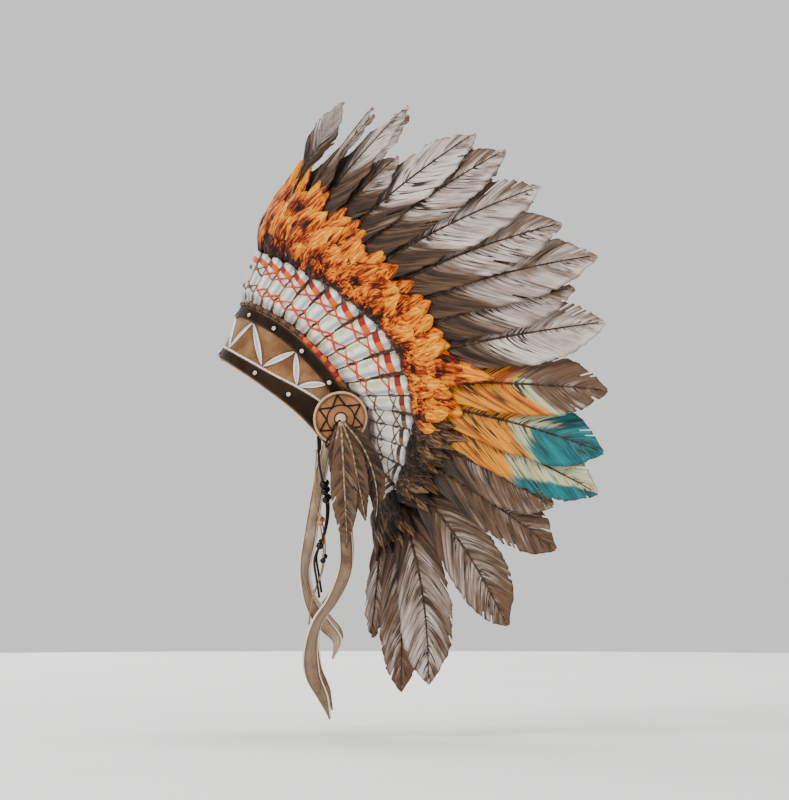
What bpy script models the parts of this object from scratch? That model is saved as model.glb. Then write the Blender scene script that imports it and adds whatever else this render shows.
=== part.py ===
"""Feathered headdress of the northern Plains kind, modelled as it is worn.

The wearer looks along -Y, +Z is up and +X is the wearer's left. The cap leans back, brow high and
nape low, while the side drops hang straight down. The origin is the middle of the cap's crown, on
its inside, where the wearer's head holds it up. The headdress mirrors about the YZ plane.

Two sets of coordinates are used. Ring coordinates (across, along, up) belong to the cap: across to
the wearer's left, along from brow to nape, and up from the head ring to the crown. The angle round
the ring is 0 at the brow and 180 degrees at the nape. Fan coordinates (place, run, lift) belong to
the feathers: place counts feathers from brow to nape on one side, run is the distance along a
feather from its root, and lift is the distance outwards from the fan.
"""
import math

import bmesh
import bpy
import numpy as np

MM = 0.001

# Cap, measured inside
HEAD_HALF_LENGTH = 96 * MM
HEAD_HALF_WIDTH = 80 * MM
CROWN_UP = 112 * MM
SHOULDER_UP = 37 * MM
CAP_WALL = 2.5 * MM
BROW_FLARE = 16 * MM
SIDE_FLARE = 4 * MM
WORN_TILT = math.radians(37)
SEAT_GAP = 0.3 * MM
BAND_GAP = 0.5 * MM
RIM_INSET = 1.5 * MM

# Brow band and what is sewn on it
BAND_HEIGHT = 56 * MM
BAND_THICKNESS = 3 * MM
BAND_END = math.radians(111)
EDGE_THICKNESS = 1.5 * MM
EDGE_INSET = 1 * MM
UPPER_EDGE_WIDTH = 12 * MM
LOWER_EDGE_WIDTH = 10 * MM
QUILL_WIDTH = 5 * MM
QUILL_THICKNESS = 1 * MM
QUILL_CORNERS = 6
QUILL_END = math.radians(91)
ROLL_RADIUS = 2.6 * MM
ROSETTE_RADIUS = 27.5 * MM
ROSETTE_BACK = 4 * MM
ROSETTE_THICKNESS = 3 * MM
ROSETTE_BEVEL = 1.5 * MM
ROSETTE_BOSS_RADIUS = 15 * MM
ROSETTE_ANGLE = math.radians(107)
ROSETTE_UP = -0.5 * MM

# Feathers and the wrapped quills that carry them
FEATHERS_A_SIDE = 20
FAN_RADIUS = 300 * MM
FAN_HALF_WIDTH = 255 * MM
FAN_BACK = 11 * MM
FAN_RISE = 1 * MM
VANE_HALF_WIDTH = 31 * MM
VANE_THICKNESS = 1.8 * MM
VANE_CAMBER = 3 * MM
VANE_ROLL = math.radians(15)
BROW_TURN = math.radians(38)
BROW_TURN_PLACES = 3
TURN_START = 0.50
TURN_END = 0.76
TIP_HALF_WIDTH = 0.4 * MM
QUILL_GAP = 0.4 * MM
WRAP_EDGE = 0.24
WRAP_GROOVE = 0.6
WRAP_LENGTH = 62 * MM
WRAP_THICKNESS = 10 * MM
ROOT_THICKNESS = 6 * MM

# Plumes over the feathers' roots
PLUME_LENGTH = 95 * MM
PLUME_THICKNESS = 4 * MM
PLUME_LIFT = 13 * MM
PLUME_CLEARANCE = 1 * MM
PLUMES_A_SIDE = 14

# Side drops
DROP_LAYER = 5 * MM
DROP_FEATHER_HALF_WIDTH = 14 * MM
DROP_FEATHER_THICKNESS = 1.6 * MM
DROP_FEATHER_CLEARANCE = 1.3 * MM
RIBBON_THICKNESS = 1.6 * MM
RIBBON_HALF_WIDTH = 6.5 * MM
THONG_RADIUS = 1.3 * MM
BEAD_RADIUS = 3.6 * MM

# Lower and upper edge of the band, in degrees round the ring and shares of the band's height
BAND_LOW = ((0, -0.49), (30, -0.45), (60, -0.41), (90, -0.43), (115, -0.58), (180, -0.68))
BAND_HIGH = ((0, 0.50), (32, 0.64), (56, 0.70), (71, 0.66), (86, 0.57), (96, 0.46), (180, 0.30))
ROOT_LINE = ((0, 0.62), (32, 0.76), (56, 0.83), (71, 0.79), (86, 0.71), (96, 0.62), (112, 0.50),
             (121, 0.40), (129, 0.18), (137, -0.02), (148, -0.20), (162, -0.32), (180, -0.38))

# Each feather from brow to nape: direction of its tip in side view (degrees), its length and spread
# as shares of the fan, direction at its root (degrees), wrap length and width as shares
FEATHERS = (
    (87.0, 1.000, 0.140, 71, 0.84, 0.72),
    (80.4, 0.980, 0.285, 66, 0.82, 0.94),
    (74.4, 1.010, 0.400, 62, 0.83, 1.00),
    (67.0, 0.800, 0.520, 58, 0.84, 0.90),
    (60.7, 1.005, 0.620, 54, 0.86, 1.00),
    (54.0, 1.010, 0.710, 50, 0.90, 1.04),
    (44.0, 0.985, 0.810, 45, 0.97, 1.00),
    (35.3, 0.955, 0.880, 39, 1.04, 1.00),
    (27.6, 1.000, 0.930, 33, 1.12, 1.00),
    (22.0, 0.870, 0.957, 26, 1.15, 0.92),
    (14.6, 0.935, 0.980, 17, 1.13, 1.00),
    (0.8, 0.910, 1.000, 6, 1.09, 1.00),
    (-12.0, 0.910, 0.985, -1, 0.97, 1.00),
    (-20.0, 0.935, 0.945, -6, 0.84, 0.96),
    (-27.0, 0.800, 0.890, -12, 0.76, 0.92),
    (-34.0, 0.895, 0.820, -20, 0.69, 0.92),
    (-52.0, 0.962, 0.590, -36, 0.58, 1.00),
    (-70.0, 1.020, 0.340, -60, 0.50, 0.96),
    (-75.5, 1.020, 0.260, -76, 0.46, 0.82),
    (-82.0, 0.820, 0.122, -92, 0.44, 0.68),
)

# Half width of a vane from the wrap to the tip, as shares of its length and of the half width
VANE_OUTLINE = ((0.0, 0.07), (0.03, 0.09), (0.12, 0.44), (0.30, 0.78), (0.54, 1.0), (0.76, 0.96),
                (0.89, 0.66), (0.965, 0.28), (1.0, 0.04))

# Reach of the plumes at some places, and of one plume from its edge to its middle, as shares
PLUME_REACH = ((-0.5, 0.97), (3, 0.76), (6.5, 0.60), (8.2, 0.52), (9.5, 0.64), (10.6, 1.02),
               (12, 0.58), (14, 0.34))
PLUME_OUTLINE = (0.45, 0.82, 1.0, 0.82)

# Side drops: points in side view from the rosette's middle, back and down as shares of the fan's
# radius, with the width of each place as a share
DROP_FEATHERS = (
    ((0.000, 0.012, 0.16), (0.006, 0.100, 0.75), (0.012, 0.220, 1.00), (0.018, 0.340, 0.78),
     (0.021, 0.434, 0.06)),
    ((0.003, 0.012, 0.16), (0.034, 0.090, 0.62), (0.052, 0.180, 0.85), (0.070, 0.270, 0.62),
     (0.083, 0.340, 0.06)),
    ((-0.003, 0.012, 0.16), (-0.016, 0.080, 0.42), (-0.014, 0.150, 0.56), (-0.008, 0.220, 0.40),
     (-0.004, 0.276, 0.06)),
)
LONG_RIBBON = ((-0.008, 0.0915), (0.004, 0.230), (0.018, 0.395), (0.018, 0.500), (-0.027, 0.610),
               (-0.075, 0.680), (-0.098, 0.770), (-0.092, 0.860), (-0.058, 0.935), (-0.035, 1.005))
SHORT_RIBBON = ((-0.045, 0.0838), (-0.075, 0.230), (-0.102, 0.395), (-0.120, 0.530),
                (-0.100, 0.620), (-0.055, 0.690), (-0.012, 0.745), (-0.027, 0.805))
BEAD_STRING = ((-0.075, 0.060), (-0.069, 0.160), (-0.052, 0.246), (-0.045, 0.306),
               (-0.062, 0.410), (-0.086, 0.470), (-0.078, 0.545), (-0.070, 0.600))
BEADS = (0.30, 0.347, 0.394, 0.68)


def smooth_table(table, places):
    """Values of a table at the given places, on a smooth curve through its rows."""
    rows = np.array(table, dtype=float)
    places = np.clip(np.asarray(places, dtype=float), rows[0, 0], rows[-1, 0])
    slopes = np.gradient(rows[:, 1], rows[:, 0])
    left = np.clip(np.searchsorted(rows[:, 0], places, side="right") - 1, 0, len(rows) - 2)
    span = rows[left + 1, 0] - rows[left, 0]
    share = (places - rows[left, 0]) / span
    square, cube = share ** 2, share ** 3
    return ((2 * cube - 3 * square + 1) * rows[left, 1] + (cube - 2 * square + share) * span
            * slopes[left] + (3 * square - 2 * cube) * rows[left + 1, 1]
            + (cube - square) * span * slopes[left + 1])


def ring_point(across, along, up):
    """World place of a point given in the cap's own ring coordinates."""
    across, along, up = np.broadcast_arrays(across, along, np.asarray(up, dtype=float))
    above = up - CROWN_UP
    back = along * math.cos(WORN_TILT) + above * math.sin(WORN_TILT)
    rise = above * math.cos(WORN_TILT) - along * math.sin(WORN_TILT)
    return np.stack([across, back, rise], axis=-1)


def cap_point(angle, up, out):
    """A point out from the inside of the cap: straight flared walls under a rounded dome."""
    angle, up = np.broadcast_arrays(np.asarray(angle, dtype=float), np.asarray(up, dtype=float))
    rim = band_low(0)
    rise = np.clip((up - SHOULDER_UP) / (CROWN_UP - SHOULDER_UP), 0, 1)
    shrink = np.sqrt(1 - rise ** 2)
    lean = (np.minimum(up, SHOULDER_UP) - rim) / (SHOULDER_UP - rim)
    brow = SIDE_FLARE + (BROW_FLARE - SIDE_FLARE) * np.clip(np.cos(angle), 0, 1) ** 2
    across = ((HEAD_HALF_WIDTH + SIDE_FLARE * lean) * shrink + out) * np.sin(angle)
    along = -((HEAD_HALF_LENGTH + brow * lean) * shrink + out) * np.cos(angle)
    return ring_point(across, along, up)


def band_low(angle):
    """Height of the band's lower edge at an angle round the ring."""
    return BAND_HEIGHT * smooth_table(BAND_LOW, np.degrees(angle))


def band_high(angle):
    """Height of the band's upper edge at an angle round the ring."""
    return BAND_HEIGHT * smooth_table(BAND_HIGH, np.degrees(angle))


def root_up(angle):
    """Height of the wrapped quills' roots at an angle round the ring."""
    return BAND_HEIGHT * smooth_table(ROOT_LINE, np.degrees(angle))


def root_out():
    """How far the middle of a wrap's root stands out from the inside of the cap."""
    return CAP_WALL + SEAT_GAP + ROOT_THICKNESS / 2


def root_angles(places):
    """Angles round the ring at which feathers are rooted, evenly spaced along the root line."""
    angles = np.linspace(0, math.pi, 181)
    line = cap_point(angles, root_up(angles), root_out())
    steps = np.linalg.norm(np.diff(line, axis=0), axis=1)
    walked = np.concatenate([[0], np.cumsum(steps)]) / steps.sum()
    return np.interp((np.asarray(places) + 0.5) / FEATHERS_A_SIDE, walked, angles)


def fan_column(column, places):
    """One column of the feather table at any places, fractions included."""
    rows = np.array([row[column] for row in FEATHERS])
    given = (np.arange(len(rows)) + 0.5) / len(rows)
    wanted = (np.asarray(places) + 0.5) / FEATHERS_A_SIDE
    if column == 2:
        given = np.concatenate([[0], given, [1]])
        rows = np.concatenate([[0], rows, [0]])
    return np.interp(wanted, given, rows)


def feather_lines(places, samples=41):
    """Curves that the feathers at the given places lie along, each from its root to the fan's rim.

    Each has one control point: it leaves the root in the root's direction and ends on the rim.
    """
    places = np.atleast_1d(np.asarray(places, dtype=float))
    angles = root_angles(places)
    roots = cap_point(angles, root_up(angles), root_out())
    turn = np.radians(fan_column(0, places))
    middle = ring_point(0, 0, 0)
    tips = np.stack([FAN_HALF_WIDTH * fan_column(2, places),
                     middle[1] + FAN_BACK + FAN_RADIUS * np.cos(turn),
                     middle[2] + FAN_RISE + FAN_RADIUS * np.sin(turn)], axis=-1)
    chord = tips - roots
    length = np.linalg.norm(chord, axis=1)
    sideways = chord[:, 0] / length
    start = np.radians(fan_column(3, places))
    level = np.sqrt(1 - sideways ** 2)
    leave = np.stack([sideways, level * np.cos(start), level * np.sin(start)], axis=-1)
    bend = roots + leave * (0.45 * length)[:, None]
    share = np.linspace(0, 1, samples)[None, :, None]
    return ((1 - share) ** 2 * roots[:, None] + 2 * share * (1 - share) * bend[:, None]
            + share ** 2 * tips[:, None])


def along_line(line, runs):
    """Points at the given distances along one curve, which goes on straight past its end."""
    steps = np.linalg.norm(np.diff(line, axis=0), axis=1)
    walked = np.concatenate([[0], np.cumsum(steps)])
    points = np.stack([np.interp(runs, walked, line[:, axis]) for axis in range(3)], axis=-1)
    past = np.maximum(np.asarray(runs) - walked[-1], 0) + np.minimum(runs, 0)
    return points + past[:, None] * unit(line[-1] - line[-2])


def line_length(line):
    """Length of one curve."""
    return float(np.linalg.norm(np.diff(line, axis=0), axis=1).sum())


def unit(vectors):
    """The same vectors, each one long."""
    return vectors / np.linalg.norm(vectors, axis=-1, keepdims=True)


def fan_frame(place, runs):
    """Points along the feather at a place, with their forward, sideways and outward directions.

    Sideways points to the next feather towards the nape, and outwards away from the cap.
    """
    step = 0.25
    before, here, after = feather_lines([place - step, place, place + step])
    points = along_line(here, runs)
    nudge = 1 * MM
    forward = unit(along_line(here, np.asarray(runs) + nudge)
                   - along_line(here, np.asarray(runs) - nudge))
    beyond = along_line(after, runs) - along_line(before, runs)
    sideways = unit(beyond - np.sum(beyond * forward, axis=-1, keepdims=True) * forward)
    outward = np.cross(sideways, forward)
    return points, forward, sideways, outward


def wrap_frame(place, runs):
    """As fan_frame, but places on one wrap end square to the feather in the wrap's middle."""
    points, _, _, outward = fan_frame(place, runs)
    middle = math.floor(place + 0.5)
    if abs(place - middle) < (WRAP_EDGE + 0.5) / 2:
        centre, ahead = fan_frame(middle, runs)[:2]
        slip = np.sum((points - centre) * ahead, axis=-1) * np.clip(runs / wrap_length(middle), 0, 1)
        points = points - ahead * slip[:, None]
    return points, outward


def feather_length(place):
    """Distance from the root to the tip of the feather at a place."""
    whole = line_length(feather_lines(place)[0])
    return whole - (1 - float(fan_column(1, place))) * FAN_RADIUS


def wrap_length(place):
    """Length of the wrapped quill at a place, even across a wrap and sloping between two."""
    middles = np.repeat(np.arange(FEATHERS_A_SIDE), 2)
    edges = middles + np.tile([-WRAP_EDGE, WRAP_EDGE], FEATHERS_A_SIDE)
    shares = [FEATHERS[middle][4] for middle in middles]
    return WRAP_LENGTH * float(np.interp(place, edges, shares))


def mirrored(points, side):
    """The points as they are for the wearer's left (side 1), or mirrored for the right (-1)."""
    return points * np.array([side, 1.0, 1.0])


def finish_material(name, colour, roughness, metallic=0.0):
    """A plain Principled material."""
    material = bpy.data.materials.get(name)
    if material is None:
        material = bpy.data.materials.new(name)
        material.use_nodes = True
        shader = material.node_tree.nodes["Principled BSDF"]
        shader.inputs["Base Color"].default_value = (*colour, 1.0)
        shader.inputs["Roughness"].default_value = roughness
        shader.inputs["Metallic"].default_value = metallic
    return material


def body(name, points, faces, material):
    """One closed object from points and faces, with its faces turned outwards."""
    mesh = bpy.data.meshes.new(name)
    mesh.from_pydata([tuple(point) for point in points], [], faces)
    work = bmesh.new()
    work.from_mesh(mesh)
    bmesh.ops.recalc_face_normals(work, faces=work.faces)
    work.to_mesh(mesh)
    work.free()
    mesh.materials.append(material)
    item = bpy.data.objects.new(name, mesh)
    bpy.context.collection.objects.link(item)
    return item


def loft_faces(sections, around, closed):
    """Faces of a loft: bands between the sections, with an end face at each end if it is open."""
    faces = []
    for step in range(sections if closed else sections - 1):
        here, there = step * around, (step + 1) % sections * around
        for corner in range(around):
            beside = (corner + 1) % around
            faces.append((here + corner, there + corner, there + beside, here + beside))
    if not closed:
        faces.append(tuple(range(around)))
        faces.append(tuple(range((sections - 1) * around, sections * around)))
    return faces


def loft(name, sections, material, closed=False):
    """A closed object lofted through sections that all have the same number of points."""
    sections = np.asarray(sections)
    count, around = sections.shape[:2]
    return body(name, sections.reshape(-1, 3), loft_faces(count, around, closed), material)


def cap(material):
    """Thin skull cap: the outer and inner skins meet in a rim below the band's lower edge."""
    around, dome = 40, 3
    angles = np.linspace(0, 2 * math.pi, around, endpoint=False)
    half = np.where(angles > math.pi, 2 * math.pi - angles, angles)
    rim = band_low(half) + RIM_INSET
    lift = np.linspace(0, math.pi / 2, dome + 2)[1:-1]
    rows = []
    for out, top in ((CAP_WALL, CAP_WALL), (0.0, 0.0)):
        skin = [cap_point(angles, rim + share * (SHOULDER_UP - rim), out)
                for share in (0, 0.33, 0.66, 1)]
        for turn in lift:
            up = SHOULDER_UP + (CROWN_UP - SHOULDER_UP) * math.sin(turn)
            ring = cap_point(angles, np.full(around, up), out * math.cos(turn))
            skin.append(ring + ring_point(0, 0, CROWN_UP + top * math.sin(turn)))
        rows.append(skin)
    points = np.concatenate(rows[0] + rows[1])
    count = len(rows[0])
    faces = []
    for skin in (0, 1):
        for row in range(count - 1):
            low, high = (skin * count + row) * around, (skin * count + row + 1) * around
            for corner in range(around):
                beside = (corner + 1) % around
                faces.append((low + corner, low + beside, high + beside, high + corner))
    for corner in range(around):
        beside = (corner + 1) % around
        outer, inner = corner, count * around + corner
        faces.append((outer, inner, count * around + beside, beside))
    crown = len(points)
    points = np.concatenate([points, [ring_point(0, 0, CROWN_UP + CAP_WALL)],
                             [ring_point(0, 0, CROWN_UP)]])
    for skin in (0, 1):
        last = (skin * count + count - 1) * around
        for corner in range(around):
            faces.append((last + corner, last + (corner + 1) % around, crown + skin))
    return body("cap", points, faces, material)


def strip(name, angles, low, high, inner, outer, material):
    """A flat strip round the cap between two heights and two distances out."""
    half = np.abs(angles)
    lows, highs = low(half), high(half)
    sections = np.stack([cap_point(angles, lows, inner), cap_point(angles, lows, outer),
                         cap_point(angles, highs, outer), cap_point(angles, highs, inner)], axis=1)
    return loft(name, sections, material)


def band_outer():
    """How far the band's face stands out from the inside of the cap."""
    return CAP_WALL + BAND_GAP + BAND_THICKNESS


def brow_band(leather, dark, quill, beads):
    """Leather brow band with its edge strips, the zigzag of flattened quills and the top roll."""
    angles = np.linspace(-BAND_END, BAND_END, 41)
    seat = CAP_WALL + BAND_GAP
    strip("brow_band", angles, band_low, band_high, seat, band_outer(), leather)
    face = band_outer() + SEAT_GAP
    strip("band_edge_upper", angles, lambda half: band_high(half) - EDGE_INSET - UPPER_EDGE_WIDTH,
          lambda half: band_high(half) - EDGE_INSET, face, face + EDGE_THICKNESS, dark)
    strip("band_edge_lower", angles, lambda half: band_low(half) + EDGE_INSET,
          lambda half: band_low(half) + EDGE_INSET + LOWER_EDGE_WIDTH, face,
          face + EDGE_THICKNESS, dark)
    quill_zigzag(face, quill)
    top_roll(beads)


def quill_zigzag(face, material):
    """Zigzag of flat quills between the edge strips, one ribbon with mitred corners."""
    steps = 3
    angles = np.linspace(-QUILL_END, QUILL_END, 2 * QUILL_CORNERS * steps + 1)
    swing = np.abs(np.arange(len(angles)) / steps % 2 - 1)
    half = np.abs(angles)
    low = band_low(half) + EDGE_INSET + LOWER_EDGE_WIDTH + SEAT_GAP
    high = band_high(half) - EDGE_INSET - UPPER_EDGE_WIDTH - SEAT_GAP - QUILL_WIDTH
    up = low + swing * (high - low)
    sections = np.stack([cap_point(angles, up + wide, face + out) for wide, out in
                         ((0, 0), (0, QUILL_THICKNESS), (QUILL_WIDTH, QUILL_THICKNESS),
                          (QUILL_WIDTH, 0))], axis=1)
    loft("quill_zigzag", sections, material)


def top_roll(material):
    """Beaded roll along the top edge of the band."""
    angles = np.linspace(-BAND_END, BAND_END, 41)
    turns = np.linspace(0, 2 * math.pi, 5, endpoint=False)
    up = band_high(np.abs(angles)) + SEAT_GAP + ROLL_RADIUS
    out = CAP_WALL + 2 * SEAT_GAP + ROLL_RADIUS
    sections = [[cap_point(angle, height + ROLL_RADIUS * math.sin(turn),
                           out + ROLL_RADIUS * math.cos(turn)) for turn in turns]
                for angle, height in zip(angles, up)]
    loft("top_roll", sections, material)


def wrap_collar(material):
    """The wrapped quills side by side all round the cap, as one ribbed collar."""
    places = []
    for feather in range(FEATHERS_A_SIDE):
        places += [feather - 0.5, feather - WRAP_EDGE, feather + WRAP_EDGE]
    side_places = np.array(places + [FEATHERS_A_SIDE - 0.5])
    left = [wrap_section(place) for place in side_places]
    right = [mirrored(section, -1) for section in left[1:-1]]
    return loft("wrap_collar", left + right[::-1], material, closed=True)


def wrap_section(place):
    """Section of the collar at a place: full on a wrap, thinner in the groove between two."""
    length = wrap_length(place)
    groove = WRAP_GROOVE if abs(place - math.floor(place) - 0.5) < 0.01 else 1.0
    runs = np.array([0.0, 0.16, 0.86, 1.0, 1.0, 0.0]) * length
    low = -ROOT_THICKNESS / 2
    full = low + (WRAP_THICKNESS * groove)
    lifts = np.array([low + ROOT_THICKNESS * groove, full, full, low + 0.85 * (full - low), low, low])
    points, outward = wrap_frame(place, runs)
    if place < -0.49 or place > FEATHERS_A_SIDE - 0.51:
        points[:, 0] = 0
        outward[:, 0] = 0
    return points + unit(outward) * lifts[:, None]


def feather_body(name, place, side, material):
    """One long feather: a thin cupped vane on its quill, from the end of its wrap to its tip."""
    first = wrap_length(place) + QUILL_GAP
    shares = np.array([row[0] for row in VANE_OUTLINE])
    halves = np.array([row[1] for row in VANE_OUTLINE]) * VANE_HALF_WIDTH
    halves = np.maximum(halves * float(fan_column(5, place)), TIP_HALF_WIDTH)
    runs = first + shares * (feather_length(place) - first)
    points, forward, sideways, outward = fan_frame(place, runs)
    roll = vane_roll(place, shares)[:, None]
    width = sideways * np.cos(roll) + outward * np.sin(roll)
    lift = np.cross(width, forward)
    thick = VANE_THICKNESS / 2 * np.clip(1.15 - 0.75 * shares, 0.3, 1)
    camber = VANE_CAMBER * halves / VANE_HALF_WIDTH
    loop = ((-1, -1, 0.4), (0, 0, 1), (1, -1, 0.4), (1, -1, -0.4), (0, 0, -1), (-1, -1, -0.4))
    rings = [points + width * (halves * across)[:, None]
             + lift * (camber * drop + thick * skin)[:, None] for across, drop, skin in loop]
    return loft(name, mirrored(np.stack(rings, axis=1), side), material)


def vane_roll(place, shares):
    """Turn of a vane about its shaft: even, but growing to the tip on the feathers at the brow."""
    turn = BROW_TURN * max(0.0, 1 - place / BROW_TURN_PLACES)
    return VANE_ROLL + turn * np.interp(shares, (TURN_START, TURN_END), (0, 1))


def crown_feathers(material):
    """All the long feathers, numbered from brow to nape on each side."""
    for side, word in ((1, "left"), (-1, "right")):
        for place in range(FEATHERS_A_SIDE):
            feather_body(f"crown_feather_{word}_{place + 1:02d}", place, side, material)


def plume_ring(material):
    """Soft pointed plumes over the feathers' roots, fused to the strip that carries them."""
    steps = len(PLUME_OUTLINE)
    left = [plume_section(-0.5 + number / steps, PLUME_OUTLINE[number % steps])
            for number in range(PLUMES_A_SIDE * steps + 1)]
    right = [mirrored(section, -1) for section in left[1:]]
    return loft("plume_ring", right[::-1] + left, material)


def plume_section(place, fullness):
    """Section of the plume ring, from the carrying strip over the feathers to the free edge."""
    length = PLUME_LENGTH * float(smooth_table(PLUME_REACH, place)) * fullness
    root = wrap_length(place) + 2 * SEAT_GAP
    low = VANE_THICKNESS / 2 + PLUME_CLEARANCE
    lift = PLUME_LIFT * (0.7 + 0.3 * fullness)
    runs = root + np.array([0.0, 0.0, 0.45, 1.0, 0.45]) * length
    lifts = np.array([low, low + PLUME_THICKNESS, lift + PLUME_THICKNESS / 2, 0.8 * lift,
                      lift - PLUME_THICKNESS / 2])
    points, outward = wrap_frame(place, runs)
    if place < -0.49:
        points[:, 0] = 0
        outward[:, 0] = 0
    return points + unit(outward) * lifts[:, None]


def rosette_frame():
    """Middle of the rosette's seat on the band, with its sideways, upward and outward directions."""
    middle = cap_point(ROSETTE_ANGLE, ROSETTE_UP, band_outer() + EDGE_THICKNESS + 2 * SEAT_GAP)
    nudge = 0.01
    ahead = cap_point(ROSETTE_ANGLE + nudge, ROSETTE_UP, band_outer())
    behind = cap_point(ROSETTE_ANGLE - nudge, ROSETTE_UP, band_outer())
    above = cap_point(ROSETTE_ANGLE, ROSETTE_UP + 1 * MM, band_outer())
    below = cap_point(ROSETTE_ANGLE, ROSETTE_UP - 1 * MM, band_outer())
    sideways = unit(ahead - behind)
    outward = unit(np.cross(sideways, above - below))
    upward = np.cross(outward, sideways)
    return middle, sideways, upward, outward


def rosettes(material):
    """Round leather rosettes over the band's ends, each on a boss that stands on the band."""
    face = ROSETTE_BACK + ROSETTE_THICKNESS
    profile = ((0.0, 0.0), (ROSETTE_BOSS_RADIUS, 0.0), (ROSETTE_BOSS_RADIUS, ROSETTE_BACK),
               (ROSETTE_RADIUS, ROSETTE_BACK), (ROSETTE_RADIUS, face - ROSETTE_THICKNESS / 3),
               (ROSETTE_RADIUS - ROSETTE_BEVEL, face), (0.0, face))
    middle, sideways, upward, outward = rosette_frame()
    turns = np.linspace(0, 2 * math.pi, 24, endpoint=False)
    for side, word in ((1, "left"), (-1, "right")):
        points = [middle + outward * profile[0][1]]
        for radius, height in profile[1:-1]:
            points += [middle + sideways * radius * math.cos(turn)
                       + upward * radius * math.sin(turn) + outward * height for turn in turns]
        points.append(middle + outward * profile[-1][1])
        count, last = len(turns), len(points) - 1
        faces = [(0, 1 + corner, 1 + (corner + 1) % count) for corner in range(count)]
        for row in range(len(profile) - 3):
            for corner in range(count):
                beside = (corner + 1) % count
                here, there = 1 + row * count, 1 + (row + 1) * count
                faces.append((here + corner, there + corner, there + beside, here + beside))
        rim = 1 + (len(profile) - 3) * count
        faces += [(rim + corner, last, rim + (corner + 1) % count) for corner in range(count)]
        body(f"rosette_{word}", mirrored(np.array(points), side), faces, material)


def drop_line(rows, samples, layer, height):
    """Smooth curve of a side drop in side view, from a height over the rosette's seat.

    It starts in the plane of the rosette and swings into its own layer as it hangs.
    """
    rows = np.array([row[:2] for row in rows]) * FAN_RADIUS
    middle, _, _, outward = rosette_frame()
    start = middle + outward * height
    steps = np.linalg.norm(np.diff(rows, axis=0), axis=1)
    walked = np.concatenate([[0], np.cumsum(steps)])
    runs = np.linspace(0, walked[-1], samples)
    back = start[1] + smooth_table(np.column_stack([walked, rows[:, 0]]), runs)
    down = start[2] - smooth_table(np.column_stack([walked, rows[:, 1]]), runs)
    tilt = (outward[1] * (back[0] - start[1]) + outward[2] * (down[0] - start[2])) / outward[0]
    swing = np.clip(runs / (2 * ROSETTE_RADIUS), 0, 1)
    face = (middle + outward * (ROSETTE_BACK + ROSETTE_THICKNESS))[0]
    out = (start[0] - tilt) * (1 - swing) + (face + layer * DROP_LAYER) * swing
    return np.stack([out, back, down], axis=-1)


def side_drops(feather, leather, pale, bead):
    """The feathers, leather ribbons and bead strings that hang from each rosette."""
    for side, word in ((1, "left"), (-1, "right")):
        drop_feathers(f"drop_feathers_{word}", side, feather)
        ribbon(f"ribbon_long_{word}", LONG_RIBBON, side, 0.1, 1.0, leather)
        ribbon(f"ribbon_short_{word}", SHORT_RIBBON, side, -2.0, 0.9, pale)
        bead_string(f"bead_string_{word}", side, bead)


def drop_feathers(name, side, material):
    """Three small feathers that hang from the rosette's middle, fused at their quills."""
    blades = []
    for number, rows in enumerate(DROP_FEATHERS):
        line = drop_line(rows, 9, 2.3 - 0.7 * number,
                         ROSETTE_BACK + ROSETTE_THICKNESS + DROP_FEATHER_CLEARANCE)
        walked = np.linspace(0, 1, 9)
        given = np.linspace(0, 1, len(rows))
        halves = np.interp(walked, given, [row[2] for row in rows]) * DROP_FEATHER_HALF_WIDTH
        forward = unit(np.gradient(line, axis=0))
        outward = np.array([1.0, 0.0, 0.0])
        width = unit(np.cross(forward, outward))
        thick = DROP_FEATHER_THICKNESS / 2
        loop = ((-1, -0.2), (0, 1), (1, -0.2), (0, -1))
        rings = [line + width * (halves * across)[:, None] + outward * thick * rise
                 for across, rise in loop]
        blades.append(loft(f"{name}_blade_{number}", mirrored(np.stack(rings, axis=1), side),
                           material))
    return fused(name, blades)


def fused(name, pieces):
    """The pieces joined into one closed object by a Boolean union."""
    first = pieces[0]
    for other in pieces[1:]:
        join = first.modifiers.new("join", "BOOLEAN")
        join.operation = "UNION"
        join.solver = "EXACT"
        join.object = other
        bpy.context.view_layer.update()
        seen = first.evaluated_get(bpy.context.evaluated_depsgraph_get())
        mesh = bpy.data.meshes.new_from_object(seen)
        first.modifiers.clear()
        first.data = mesh
        bpy.data.objects.remove(other)
    first.name = name
    first.data.name = name
    return first


def ribbon(name, rows, side, layer, share, material):
    """A leather ribbon that twists as it hangs, pointed at its end."""
    samples = 17
    line = drop_line(rows, samples, layer, ROSETTE_BACK + ROSETTE_THICKNESS / 2)
    shares = np.linspace(0, 1, samples)
    forward = unit(np.gradient(line, axis=0))
    turn = 0.9 * np.sin(2.4 * math.pi * np.clip(shares - 0.42, 0, 1))
    flat = unit(np.cross(forward, np.array([1.0, 0.0, 0.0])))
    outward = np.cross(flat, forward)
    width = flat * np.cos(turn)[:, None] + outward * np.sin(turn)[:, None]
    lift = np.cross(forward, width)
    half = RIBBON_HALF_WIDTH * share * np.interp(shares, [0, 0.1, 0.8, 0.93, 1],
                                                 [0.75, 0.9, 1.25, 0.9, 0.15])
    thick = RIBBON_THICKNESS / 2 * np.interp(shares, [0, 0.93, 1], [1, 1, 0.6])
    rings = [line + width * (half * across)[:, None] + lift * (thick * rise)[:, None]
             for across, rise in ((-1, -1), (1, -1), (1, 1), (-1, 1))]
    return loft(name, mirrored(np.stack(rings, axis=1), side), material)


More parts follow.
